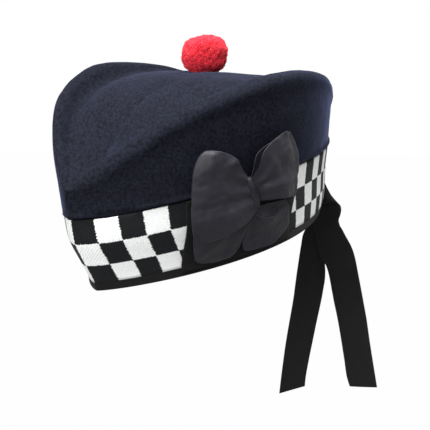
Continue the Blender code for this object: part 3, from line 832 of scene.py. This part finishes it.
# each lobe's outer face as a net of places in mm: rows run out from the knot and columns
# across the ribbon, y along the hat, z up from the rim and stand off the side of the hat;
# a loop also has how far its back face stands, how far that is drawn in to the knot and
# together, and how far its lower edge curls up and back; each pucker is y, z, size and height
bow = {
    "ribbonWidth": 0.056,
    "flapWidth": 0.040,
    "thickness": 0.6 * mm,
    "lowest": 2.9,
    "ripples": ((15.0, 0.45), (6.0, 0.16)),     # their size and height in mm
    "slopeStep": 8 * mm,    # over which the side's slopes are taken
    "loopGrid": (150, 90),
    "flapGrid": (80, 90),
}
lobes = {}
lobes["bow_loop_front"] = {
    "y": [[-39.0, -40.7, -41.9, -43.4, -45.7, -46.6, -47.3, -47.3],
          [-49.5, -53.3, -55.5, -57.7, -58.4, -57.9, -55.6, -53.0],
          [-59.2, -63.2, -66.0, -67.9, -68.6, -66.6, -63.3, -58.9],
          [-67.6, -72.6, -75.6, -77.0, -77.2, -75.1, -71.1, -67.1],
          [-76.8, -81.0, -83.7, -83.7, -82.9, -81.1, -77.8, -75.2]],
    "z": [[34.2, 38.3, 42.2, 45.9, 50.4, 54.4, 56.6, 57.4],
          [30.5, 36.6, 44.0, 50.2, 55.9, 61.1, 64.1, 65.1],
          [29.1, 35.2, 44.2, 52.6, 59.9, 67.5, 72.8, 73.8],
          [25.2, 32.7, 43.6, 53.8, 62.9, 71.6, 77.8, 79.5],
          [22.6, 27.2, 36.8, 50.2, 62.2, 72.2, 78.4, 80.3]],
    "stand": [[6.0, 6.5, 7.0, 7.0, 7.0, 6.5, 6.0, 5.7],
              [9.5, 11.5, 12.0, 11.5, 11.0, 10.5, 10.0, 9.5],
              [12.0, 14.0, 14.0, 12.5, 13.0, 12.5, 12.6, 12.2],
              [9.5, 12.5, 13.5, 12.5, 13.0, 13.0, 12.6, 11.9],
              [5.9, 6.8, 8.6, 9.0, 8.8, 8.6, 8.3, 7.8]],
    "under": 5.2, "drawIn": (0.14, 0.14), "curl": (1.5, 0.6), "pleats": 3.4, "pleatDepth": 0.8, "seed": 31,
    "puckers": [(-60.5, 70.5, 3.2, 2.4), (-63.5, 61.0, 3.0, -0.8), (-53.0, 49.0, 4.0, -0.9)],
}

lobes["bow_loop_back"] = {
    "y": [[-38.7, -39.9, -41.0, -42.8, -44.1, -44.4, -45.1],
          [-35.7, -36.5, -37.3, -37.6, -39.0, -41.2, -42.3],
          [-31.0, -32.1, -32.2, -32.5, -35.6, -38.6, -40.7],
          [-25.1, -25.9, -25.0, -26.3, -30.4, -34.2, -34.8],
          [-18.8, -18.8, -18.4, -19.0, -22.3, -25.5, -26.5],
          [-14.8, -14.3, -14.7, -14.9, -17.9, -19.6, -19.3],
          [-7.8, -6.6, -7.4, -7.6, -10.3, -12.6, -13.5],
          [0.6, 2.5, 1.7, 0.9, -2.5, -5.8, -8.8]],
    "z": [[40.3, 43.5, 46.6, 49.7, 52.0, 53.9, 55.2],
          [41.2, 45.7, 50.2, 54.8, 58.4, 61.5, 63.3],
          [41.5, 47.3, 52.9, 58.6, 64.6, 69.6, 72.7],
          [40.7, 47.9, 54.3, 62.9, 70.9, 76.0, 77.4],
          [39.1, 47.3, 55.0, 64.3, 73.3, 78.9, 79.9],
          [37.9, 46.4, 54.4, 63.7, 73.4, 78.7, 81.3],
          [35.8, 44.0, 52.7, 62.3, 70.7, 75.0, 77.4],
          [33.4, 41.3, 50.5, 60.0, 68.0, 73.3, 77.4]],
    "stand": [[6.0, 6.5, 7.0, 7.0, 7.0, 6.5, 6.2],
              [11.0, 12.0, 12.0, 11.5, 11.5, 11.2, 10.6],
              [14.0, 15.0, 14.5, 14.0, 14.0, 13.4, 12.6],
              [15.0, 15.5, 14.0, 13.5, 13.5, 13.0, 12.2],
              [13.5, 13.5, 12.5, 12.0, 12.0, 11.5, 10.8],
              [11.5, 11.5, 11.0, 10.5, 10.5, 10.0, 9.4],
              [8.0, 8.0, 7.8, 7.6, 7.4, 7.0, 6.6],
              [4.6, 4.6, 4.6, 4.6, 4.6, 4.6, 4.6]],
    "under": 3.6, "drawIn": (0.00, 0.26), "curl": (1.5, 0.5), "pleats": 2.8, "pleatDepth": 0.8, "seed": 32,
    "puckers": [(-27.0, 62.0, 4.0, -0.9), (-18.0, 70.0, 3.5, 0.9)],
}

lobes["bow_flap_front"] = {
    "y": [[-43.4, -42.9, -42.4, -41.9, -41.4, -41.3],
          [-61.3, -57.9, -53.3, -49.2, -45.9, -43.8],
          [-77.6, -70.3, -63.2, -56.0, -49.8, -46.3],
          [-82.6, -76.6, -68.7, -60.3, -53.8, -48.8],
          [-81.4, -77.5, -70.5, -62.5, -56.3, -51.7],
          [-78.6, -75.5, -70.1, -64.5, -59.9, -55.7]],
    "z": [[33.8, 33.1, 31.9, 30.8, 29.7, 29.0],
          [36.8, 32.2, 27.7, 24.8, 23.5, 24.1],
          [42.1, 29.4, 23.3, 19.8, 17.5, 17.3],
          [32.9, 24.8, 18.5, 14.2, 12.3, 11.6],
          [22.1, 17.1, 11.9, 8.6, 7.1, 7.3],
          [11.9, 8.4, 6.3, 5.1, 4.7, 4.7]],
    "stand": [[4.0, 4.0, 4.0, 4.0, 4.0, 4.0],
              [4.4, 4.6, 4.8, 4.8, 4.6, 4.2],
              [5.4, 6.0, 5.4, 4.9, 4.6, 4.2],
              [8.4, 8.8, 6.6, 5.2, 4.8, 4.4],
              [8.2, 8.6, 6.8, 5.4, 4.8, 4.0],
              [5.0, 5.0, 4.4, 3.8, 3.4, 3.0]],
    "pleats": 2.2, "pleatDepth": 0.6, "seed": 33,
    "puckers": [(-72.0, 21.0, 3.0, -0.9), (-61.0, 10.5, 3.0, -0.8), (-66.0, 24.0, 5.0, 0.8)],
}

lobes["bow_flap_back"] = {
    "y": [[-42.4, -41.9, -41.6, -41.1, -41.3, -38.6, -38.1],
          [-44.6, -40.0, -36.5, -35.6, -37.1, -34.2, -32.1],
          [-46.3, -38.4, -30.6, -27.5, -30.2, -26.5, -24.8],
          [-45.8, -35.6, -24.7, -19.8, -21.7, -18.3, -16.7],
          [-43.6, -30.4, -17.8, -8.6, -9.9, -7.2, -8.7]],
    "z": [[26.2, 27.5, 28.9, 30.2, 32.2, 30.9, 34.9],
          [19.9, 20.4, 22.3, 25.2, 29.7, 28.3, 34.7],
          [14.1, 13.2, 15.4, 21.0, 28.8, 27.2, 34.2],
          [8.4, 7.1, 8.7, 16.4, 30.1, 28.6, 33.4],
          [5.9, 4.4, 5.1, 10.5, 29.4, 28.4, 32.7]],
    "stand": [[3.8, 4.0, 4.6, 5.4, 6.0, 4.4, 3.4],
              [3.4, 3.6, 4.4, 6.6, 8.6, 5.8, 3.4],
              [3.2, 3.3, 4.2, 7.4, 10.0, 6.4, 3.4],
              [3.1, 3.2, 3.8, 6.4, 9.8, 6.4, 3.4],
              [3.0, 3.1, 3.4, 4.8, 7.4, 5.2, 3.4]],
    "pleats": 2.6, "pleatDepth": 0.7, "seed": 34,
    "puckers": [(-31.0, 25.0, 4.0, 1.3), (-27.0, 17.0, 4.5, -1.0), (-18.0, 22.0, 3.5, 0.7),
                (-36.0, 14.0, 4.0, 0.6)],
}


def evenKnots(net, axis):
    # places for a net's rows or columns, spaced by the mean distance between them
    knots = runningSum(np.linalg.norm(np.diff(net, axis=axis), axis=2).mean(axis=1 - axis))
    return knots / knots[-1]


def drawNet(net, rows, columns):
    # a smooth surface through a net: a smooth curve through its rows, then through its columns
    along = smoothCurve(evenKnots(net, 0), net, np.linspace(0, 1, rows))
    across = smoothCurve(evenKnots(net, 1), np.swapaxes(along, 0, 1), np.linspace(0, 1, columns))
    return np.swapaxes(across, 0, 1)


def bowPlace(y, z, stand):
    # places in mm on the hat's side to the wearer's frame
    return worn(onSide(y * mm, z * mm + rimRise(y * mm), stand * mm, bow["slopeStep"]))


def carryRound(net, lobe):
    # a loop's lower edge turns in, and its back face is the front one drawn a little together
    rise, fall = lobe["curl"]
    edge = net[:, :1] + (0, rise, 0)
    edge[..., 2] -= fall * (net[:, :1, 2] - lobe["under"])
    net = np.concatenate([edge, net], axis=1)
    toKnot, together = lobe["drawIn"]
    under = net + (net[:1] - net) * (toKnot, toKnot, 0)
    under += (under.mean(axis=1, keepdims=True) - under) * (together, together, 0)
    under[..., 2] = lobe["under"]
    return np.concatenate([net, under[::-1]])


def buildLobe(name, lobe):
    # the net's outer face, for a loop carried round its far end and back under itself,
    # with pleats that fade away from the knot and a few small puckers
    net = np.stack([np.array(lobe[key], float) for key in ("y", "z", "stand")], axis=-1)
    loop = "under" in lobe
    if loop:
        net = carryRound(net, lobe)
    place = drawNet(net, *bow["loopGrid" if loop else "flapGrid"])
    y, z, stand = place[..., 0], place[..., 1], place[..., 2]
    face = np.linspace(0, 2 if loop else 1, len(place))[:, None]
    share = np.minimum(face, 2 - face)
    outer = 1 - easeBetween(0.85, 1.15, face) if loop else 1.0
    side = np.linspace(0, 1, place.shape[1])[None, :]
    free = easeBetween(0.0, 0.12, share) * outer
    pleat = np.cos(2 * np.pi * (lobe["pleats"] * side + 0.3 * share)) * (1 - share) ** 1.2
    ripple = sum(height * waviness(place, size, lobe["seed"] + 10 * i)
                 for i, (size, height) in enumerate(bow["ripples"]))
    stand = stand + free * (lobe["pleatDepth"] * pleat + ripple * (0.4 + 0.6 * share))
    for middleY, middleZ, size, height in lobe["puckers"]:
        stand = stand + outer * height * np.exp(-((y - middleY) ** 2 + (z - middleZ) ** 2) / size**2)
    grid = bowPlace(y, z, np.maximum(stand, bow["lowest"]))
    length = wayAlong(grid)
    width = runningSum(np.linalg.norm(np.diff(grid, axis=1), axis=2).max(axis=0))
    uv = asPoints(width, length)
    piece = newPiece(name + "_satin", grid, "black_satin", uv=uv)
    wide = bow["ribbonWidth" if loop else "flapWidth"]
    makeCloth(piece, name, bow["thickness"], 0.0, grid, (wide, surfaceArea(grid) / wide), "gathered",
              rests_on=["side_ribbon_cloth"])


for name, lobe in lobes.items():
    buildLobe(name, lobe)

knot = {
    "middle": (-43.6, 46.0),        # mm along the hat and up from the rim
    "lean": (-0.32, 0.95),
    "length": 23.0,
    "width": 8.0,
    "depth": 3.6,
    "base": 5.6,
    "lowest": 3.0,
    "creases": 4,
    "creaseDepth": 0.09,
    "creaseTwist": 2.6,
    "fullness": 0.55,       # the smaller, the blunter its ends
    "grid": (70, 72),
    "cloth": (5 * mm, 8 * mm),      # its UV's size for a radian round and along
}


def buildKnot():
    # a long bead along the bow's throat: half a sine of width and depth along its length,
    # with creases that wind round it
    polar = np.linspace(0, np.pi, knot["grid"][0])[:, None]
    around = fullTurn(knot["grid"][1])
    lean = np.array(knot["lean"]) / math.hypot(*knot["lean"])
    full = np.sin(polar) ** knot["fullness"]
    turn = knot["creases"] * around + knot["creaseTwist"] * polar
    crease = 1 + knot["creaseDepth"] * np.cos(turn) * full
    along = -knot["length"] / 2 * np.cos(polar)
    aside = knot["width"] / 2 * full * np.cos(around) * crease
    y = knot["middle"][0] + lean[0] * along + lean[1] * aside
    z = knot["middle"][1] + lean[1] * along - lean[0] * aside
    stand = knot["base"] + knot["depth"] * full * np.sin(around) * crease
    uv = asPoints(around * knot["cloth"][0], polar * knot["cloth"][1])
    grid = bowPlace(y, z, np.maximum(stand, knot["lowest"]))
    piece = newPiece("bow_knot_satin", grid, "black_satin", uv=uv, closed=True, weld=1e-6)
    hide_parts("bow_knot")


buildKnot()
print("bow made")


# Pompom

pompom = {
    "width": 32.0 * mm,
    "height": 28.5 * mm,
    "setBack": 8.5 * mm,
    "seat": 0.41,
    "strands": 15000,
    "strandWidth": 0.42 * mm,
    "strandLength": 4.2 * mm,
    # painted shade: how light a strand is painted at its root, middle and tip, darkest deep in the pompom
    "shadeAlongStrand": (0.5, 0.85, 1.0),     # how light a strand is at its root, middle and tip
    "taper": (0.7, 1.0, 0.75),      # and how thick
    "scatter": 0.03,
    "lean": 0.34,
    "bend": 0.25 * mm,
    "lengths": (0.9, 1.15),         # each strand's own share of the length, reach and width
    "reaches": (0.985, 1.02),
    "widths": (0.7, 1.3),
    "seed": 21,
    "core": 0.92,
    # painted shade on the heart, which lies deep under the strands
    "heartShade": 0.6,
    "heartClear": 0.3 * mm,         # how far the heart stays off the top panel
    "strandSink": 0.9 * mm,         # and how far the strands sink in it
    "heartGrid": (60, 90),
    "lumps": ((9 * mm, 0.035, 11), (4 * mm, 0.02, 12)),     # sizes, heights and seeds
    "flatTop": 0.06,
    "tufts": 150,
    "tuftScatter": 0.035,
    "tuftPull": 0.10,
    "tuftRise": 0.35 * mm,
}


def pompomShape(way):
    # reach in a direction: an ellipsoid with lumps, a little flat on top
    lumps = 1.0
    for wide, height, seed in pompom["lumps"]:
        lumps = lumps + height * waviness(way * 10 * mm, wide, seed)
    size = np.array([pompom["width"], pompom["width"], pompom["height"]]) / 2
    flat = 1 - pompom["flatTop"] * easeBetween(0.6, 1.0, way[..., 2])
    return way * size * (lumps * flat)[..., None]


def aboveCrown(points, clear):
    # points that would lie in the top panel are lifted on to it
    x, y = points[..., 0].ravel(), points[..., 1].ravel()
    station = ridgeStation(y)
    share = np.abs(x) / foldFoot(station, 1)[0]
    height = np.where(x > 0, panelLine(station, 1, share)[:, 2], panelLine(station, -1, share)[:, 2])
    points[..., 2] = np.maximum(points[..., 2], height.reshape(points.shape[:-1]) + clear)


def spiralWays(count):
    # directions spread evenly over a sphere, each turned on by the golden angle
    turn = np.arange(count)
    up = 1 - 2 * (turn + 0.5) / count
    golden = np.pi * (3 - math.sqrt(5)) * turn
    ring = np.sqrt(1 - up**2)
    return asPoints(ring * np.cos(golden), ring * np.sin(golden), up)


def buildHeart(middle):
    polar = np.linspace(0, np.pi, pompom["heartGrid"][0])[:, None]
    around = fullTurn(pompom["heartGrid"][1])
    way = asPoints(np.sin(polar) * np.cos(around), np.sin(polar) * np.sin(around), np.cos(polar))
    core = middle + pompomShape(way) * pompom["core"]
    aboveCrown(core, pompom["heartClear"])
    # the heart's UV: painted shade, nearly as dark as a strand's root
    shade = asPoints(np.zeros(way.shape[:2]), pompom["heartShade"])
    heart = newPiece("pompom_heart", worn(core), "red_yarn", uv=shade, closed=True, weld=1e-6)
    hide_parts("pompom")


def buildStrands(middle):
    # strands spread evenly over the heart, each a bent three-sided blade that tapers
    count = pompom["strands"]
    pick = np.random.default_rng(pompom["seed"])
    way = spiralWays(count)
    way = unit(way + pick.normal(scale=pompom["scatter"], size=way.shape))

    # they draw together into tufts, each highest in its middle
    tuft = spiralWays(pompom["tufts"])
    tuft = unit(tuft + pick.normal(scale=pompom["tuftScatter"], size=tuft.shape))
    nearest = (way @ tuft.T).argmax(axis=1)
    far = np.linalg.norm(way - tuft[nearest], axis=1) * math.sqrt(len(tuft)) / 2
    way = unit(way + pompom["tuftPull"] * (tuft[nearest] - way))
    high = pick.uniform(0.2, 1.0, len(tuft))[nearest]
    dome = pompom["tuftRise"] * (high - np.clip(far, 0, 1.3) ** 2)

    # three points down each strand, then a ring of three corners round each of them
    reach = pompomShape(way)
    reach += dome[:, None] * way
    outward = unit(reach)
    lean = pick.normal(scale=pompom["lean"], size=way.shape)
    length = pompom["strandLength"] * pick.uniform(*pompom["lengths"], count)[:, None]
    tip = reach * pick.uniform(*pompom["reaches"], count)[:, None]
    root = tip - (outward + lean) * length
    bend = (tip + root) / 2 + pick.normal(scale=pompom["bend"], size=way.shape)
    side = unit(np.cross(outward, pick.normal(size=way.shape)))
    other = np.cross(outward, side)
    spin = fullTurn(3)[..., None]
    ringWay = side[:, None] * np.cos(spin) + other[:, None] * np.sin(spin)
    half = pompom["strandWidth"] / 2 * pick.uniform(*pompom["widths"], count)[:, None, None]
    levels = [place[:, None] + ringWay * half * thick
              for place, thick in zip((root, bend, tip), pompom["taper"])]
    points = middle + np.stack(levels, axis=1)
    aboveCrown(points, -pompom["strandSink"])

    # two bands of three quads on each strand, and a cap on its tip
    ring = np.arange(3)
    band = asPoints(ring, (ring + 1) % 3, (ring + 1) % 3 + 3, ring + 3)
    first = np.arange(count) * 9
    quads = (first[:, None, None] + np.concatenate([band, band + 3])).reshape(-1, 4).tolist()
    caps = (first[:, None] + np.array([6, 7, 8])).tolist()
    # each strand's UV: a random tone, and painted shade from its dark root to its tip
    tone = pick.uniform(0, 1, count)[:, None, None] * np.ones((1, 3, 3))
    depth = np.broadcast_to(np.array(pompom["shadeAlongStrand"])[None, :, None], (count, 3, 3))
    uv = asPoints(tone, depth)
    newPiece("pompom_strands", worn(points), "red_yarn", uv=uv, faces=quads + caps)


seat = panelLine(np.array([ridgeStation(pompom["setBack"])]), 1, 0.0)[0]
pompomMiddle = seat + (0, 0, pompom["seat"] * pompom["height"])
buildHeart(pompomMiddle)
buildStrands(pompomMiddle)
print("pompom made")


# Tied ribbon and tails, in the wearer's frame because they hang straight down

tails = {
    "width": 24.5 * mm,
    "shift": -1.8 * mm,       # the whole hangs a little to the wearer's right of the tables below
    "tieFoot": 3.9 * mm,
    "tieHeight": 33.0 * mm,
    "tieDepth": 7.0 * mm,
    "foldOver": 1.3 * mm,
    "wave": 1.0 * mm,
    "cup": 0.7 * mm,
    "creaseSize": 3.4 * mm,
    "creaseDepth": 0.35 * mm,
    "thickness": 0.6 * mm,
    "creaseLean": 5.0,
    "tieGrid": (110, 80),
    "tailGrid": (160, 26),
    "waves": 1.1,
    "waveOffset": 0.2,
    "hangsFreeBetween": (0.18, 0.5),    # shares of a tail's length
}

# each tail's two edges from its top to its end, as places in mm: x and z, z up from the seat
tailEdges = {
    "tail_left": {
        "side": 1.0, "length": 133.2 * mm,
        "outer": ((16.3, 7.0), (17.5, 4.0), (20.2, 0.5), (22.7, -3.3), (25.4, -7.1), (28.1, -10.9),
                  (30.2, -14.7), (33.0, -22.5), (34.8, -30.3), (36.4, -38.1), (39.6, -53.8), (43.4, -69.3),
                  (46.8, -84.9), (50.5, -100.5), (54.0, -116.0), (55.3, -122.3)),
        "inner": ((-9.0, 7.0), (-7.0, -2.0), (-5.0, -10.0), (-2.5, -18.0), (-0.5, -23.0), (2.1, -26.7),
                  (4.6, -29.2), (6.2, -32.9), (7.4, -36.8), (9.8, -48.8), (11.5, -56.8), (16.0, -72.7),
                  (20.1, -88.5), (23.9, -104.3), (27.5, -120.2), (29.8, -125.6)),
    },
    "tail_right": {
        "side": -1.0, "length": 144.6 * mm,
        "outer": ((-13.6, 7.0), (-14.6, 4.0), (-17.0, -1.0), (-19.6, -6.3), (-21.4, -14.7), (-24.4, -31.5),
                  (-26.6, -44.2), (-29.3, -61.3), (-32.4, -78.5), (-35.3, -95.9), (-38.4, -117.7),
                  (-42.2, -143.5)),
        "inner": ((11.0, 7.0), (9.0, -2.0), (6.5, -10.0), (4.0, -17.0), (2.6, -23.5), (2.5, -29.1),
                  (2.8, -33.2), (2.8, -37.3), (2.5, -41.4), (0.9, -49.8), (-0.8, -58.2), (-4.5, -75.1),
                  (-7.9, -92.2), (-11.5, -109.5), (-15.0, -126.9), (-15.8, -133.0)),
    },
}

# the tied ribbon from its foot up: its sides in mm, and its depth and how far it stands
# forward as shares
tieOutline = {
    "height": (0.00, 0.12, 0.24, 0.32, 0.42, 0.485, 0.50, 0.545, 0.60, 0.715, 0.85, 1.00),
    "right": (-14.2, -13.2, -13.2, -13.6, -13.6, -13.0, -12.8, -12.0, -10.6, -7.4, -4.6, -2.4),
    "left": (17.2, 16.1, 17.5, 18.2, 18.2, 17.4, 17.0, 15.8, 13.6, 9.3, 5.6, 2.0),
    "depth": (0.36, 0.50, 0.62, 0.70, 0.72, 0.62, 0.62, 0.78, 0.88, 0.80, 0.62, 0.45),
    "forward": (0.00, 0.00, 0.00, 0.00, 0.00, 0.10, 0.30, 0.90, 1.00, 0.80, 0.35, 0.00),
}


def tiePlane():
    # where the tied ribbon hangs: just behind the band's back point at the ribbon's top
    heights = np.linspace(0, hat["bandTop"], 60)
    back = bandReach(heights)[2]
    c, s = math.cos(hat["pitch"]), math.sin(hat["pitch"])
    top = tails["tieFoot"] + tails["tieHeight"]
    behind = np.interp(top, back * s + heights * c, back * c - heights * s)
    return behind + hat["gap"] + tails["tieDepth"] / 2 * tieOutline["depth"][-1]


def buildTie(plane):
    # a flattened tube between the two sides, its upper part folded forward over the lower,
    # and shut at both ends
    rows, columns = tails["tieGrid"]
    share = np.linspace(0, 1, rows)[:, None]
    angle = fullTurn(columns)
    right, left, depth, forward = (fromTable(tieOutline, name, share)
                                   for name in ("right", "left", "depth", "forward"))
    across = (left - right) / 2 * np.cos(angle) * mm
    x = (left + right) / 2 * mm + across + tails["shift"]
    z = tails["tieFoot"] + tails["tieHeight"] * share
    y = plane + tails["tieDepth"] / 2 * depth * np.sin(angle) - tails["foldOver"] * forward
    crease = np.sin(across / tails["creaseSize"] + tails["creaseLean"] * share) * tails["creaseDepth"]
    crease = crease * np.clip(depth - 0.5, 0, 1)
    y = y + crease * np.sign(np.sin(angle)) * np.sin(angle) ** 2
    grid = asPoints(x, y, z)
    foot, top = (np.repeat(end.mean(axis=1, keepdims=True), columns, axis=1)
                 for end in (grid[:1], grid[-1:]))
    grid = np.concatenate([foot, grid, top])
    uv = asPoints(grid[..., 0], grid[..., 2])
    piece = newPiece("tied_ribbon", grid, "black_ribbon", uv=uv, closed=True, weld=1e-7)
    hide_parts("tail_tie")


def buildTail(name, tail, plane):
    # a ribbon between its two edges, cupped across its width and softly waved down its length
    side = tail["side"]
    rows, columns = tails["tailGrid"]
    share = np.linspace(0, 1, rows)
    edges = []
    for key in ("inner", "outer"):
        line = np.array(tail[key]) * mm + (tails["shift"], 0)
        way = wayAlong(line)
        edges.append(smoothCurve(way / way[-1], line, share)[:, None])
    share = share[:, None]
    spread = np.linspace(0, 1, columns)[None, :]
    flat = edges[0] + (edges[1] - edges[0]) * spread[..., None]
    free = easeBetween(*tails["hangsFreeBetween"], share)
    wave = tails["wave"] * np.sin(2 * np.pi * (tails["waves"] * share + tails["waveOffset"] * side))
    wave = wave - tails["cup"] * (2 * spread - 1) ** 2
    y = plane - side * (hat["ribbonWall"] / 2 + hat["gap"] + free * wave)
    grid = asPoints(flat[..., 0], y, flat[..., 1])
    width = np.linalg.norm(edges[1] - edges[0], axis=-1)
    uv = asPoints(width * (spread - 0.5), tail["length"] * share)
    piece = newPiece(name + "_ribbon", grid, "black_ribbon", uv=uv)
    makeCloth(piece, name, tails["thickness"], 0.0, grid, (tails["width"], tail["length"]), "hung",
              rests_on=["tied_ribbon"])


hangPlane = tiePlane()
buildTie(hangPlane)
for name, tail in tailEdges.items():
    buildTail(name, tail, hangPlane)
print("tied ribbon and tails made")


# Camera, floor and light

view = {
    "azimuth": 40.8,
    "elevation": 6.5,
    "distance": 0.8,
    "lens": 92.9,
    "shiftX": -0.0080,
    "shiftY": 0.0642,
}

studio = {
    "floorDrop": 0.16,       # below the tails' ends
    "floorHalf": 9.0,
    "floorLook": 0.99,
    "floorBounce": 0.20,
    "worldAbove": 1.0,
    "worldBelow": 0.25,
    "worldBehind": 0.38,     # share of the dome's light that comes from behind the hat
    "worldTurn": 40.0,       # how far the dome's pale side is turned to the camera's right
    "key": {"place": (0.35, -0.35, 2.0), "size": 1.4, "power": 98.0},
    "fill": {"place": (0.2, -2.4, 0.9), "size": 2.0, "power": 58.0},
}


def buildCamera():
    a, e = math.radians(view["azimuth"]), math.radians(view["elevation"])
    towards = np.array([math.sin(a) * math.cos(e), -math.cos(a) * math.cos(e), math.sin(e)])
    lens = bpy.data.cameras.new("camera")
    lens.lens = view["lens"]
    lens.shift_x, lens.shift_y = view["shiftX"], view["shiftY"]
    camera = addObject("camera", lens)
    camera.location = towards * view["distance"]
    camera.rotation_euler = (math.pi / 2 - e, 0, a)
    bpy.context.scene.camera = camera


def buildFloor():
    # a plain pale floor that looks evenly lit and gives the hat a little light back
    made, tree, shader = newMaterial("pale floor")
    shader.inputs["Base Color"].default_value = (studio["floorBounce"],) * 3 + (1,)
    shader.inputs["Roughness"].default_value = 1.0
    glow = addNode(tree, "Emission", {"Strength": studio["floorLook"]})[0]
    seen = addNode(tree, "LightPath", {})["Is Camera Ray"]
    both = addNode(tree, "MixShader", {0: seen, 1: shader.outputs[0], 2: glow})[0]
    tree.links.new(both, tree.nodes["Material Output"].inputs["Surface"])
    z = cadBox[0][2] - studio["floorDrop"]
    half = studio["floorHalf"]
    corners = [(-half, -half, z), (half, -half, z), (half, half, z), (-half, half, z)]
    mesh = bpy.data.meshes.new("floor")
    mesh.from_pydata(corners, [], [(0, 1, 2, 3)])
    mesh.materials.append(made)
    addObject("floor", mesh)


def buildWorld():
    # white behind the hat, and as light a dome that is paler above and in front
    world = bpy.data.worlds.new("studio")
    world.use_nodes = True
    tree = world.node_tree
    way = addNode(tree, "TexCoord", {})["Generated"]
    height = addNode(tree, "SeparateXYZ", {0: way})[2]
    dome = ramp(tree, height, -0.3, 0.6, studio["worldBelow"], studio["worldAbove"])
    a = math.radians(view["azimuth"] + studio["worldTurn"])
    towards = (math.sin(a), -math.cos(a), 0.0)
    ahead = addNode(tree, "VectorMath", {0: way, 1: towards}, operation="DOT_PRODUCT")[1]
    dome = mathNode(tree, "MULTIPLY", dome, ramp(tree, ahead, -0.5, 0.5, studio["worldBehind"], 1.0))
    seen = addNode(tree, "LightPath", {})["Is Camera Ray"]
    strength = mathNode(tree, "MULTIPLY_ADD", seen, mathNode(tree, "SUBTRACT", 1.0, dome), dome)
    background = tree.nodes["Background"]
    tree.links.new(strength, background.inputs["Strength"])
    background.inputs["Color"].default_value = (1, 1, 1, 1)
    bpy.context.scene.world = world


def buildLamp(name):
    # a square lamp that faces the hat
    given = studio[name]
    light = bpy.data.lights.new(name, "AREA")
    light.size = given["size"]
    light.energy = given["power"]
    lamp = addObject(name, light)
    x, y, z = given["place"]
    lamp.location = (x, y, z)
    lamp.rotation_euler = (math.atan2(math.hypot(x, y), z), 0, math.atan2(y, x) + math.pi / 2)


buildCamera()
buildFloor()
buildWorld()
buildLamp("key")
buildLamp("fill")
bpy.context.scene.view_settings.view_transform = "Standard"
print("camera and studio made")
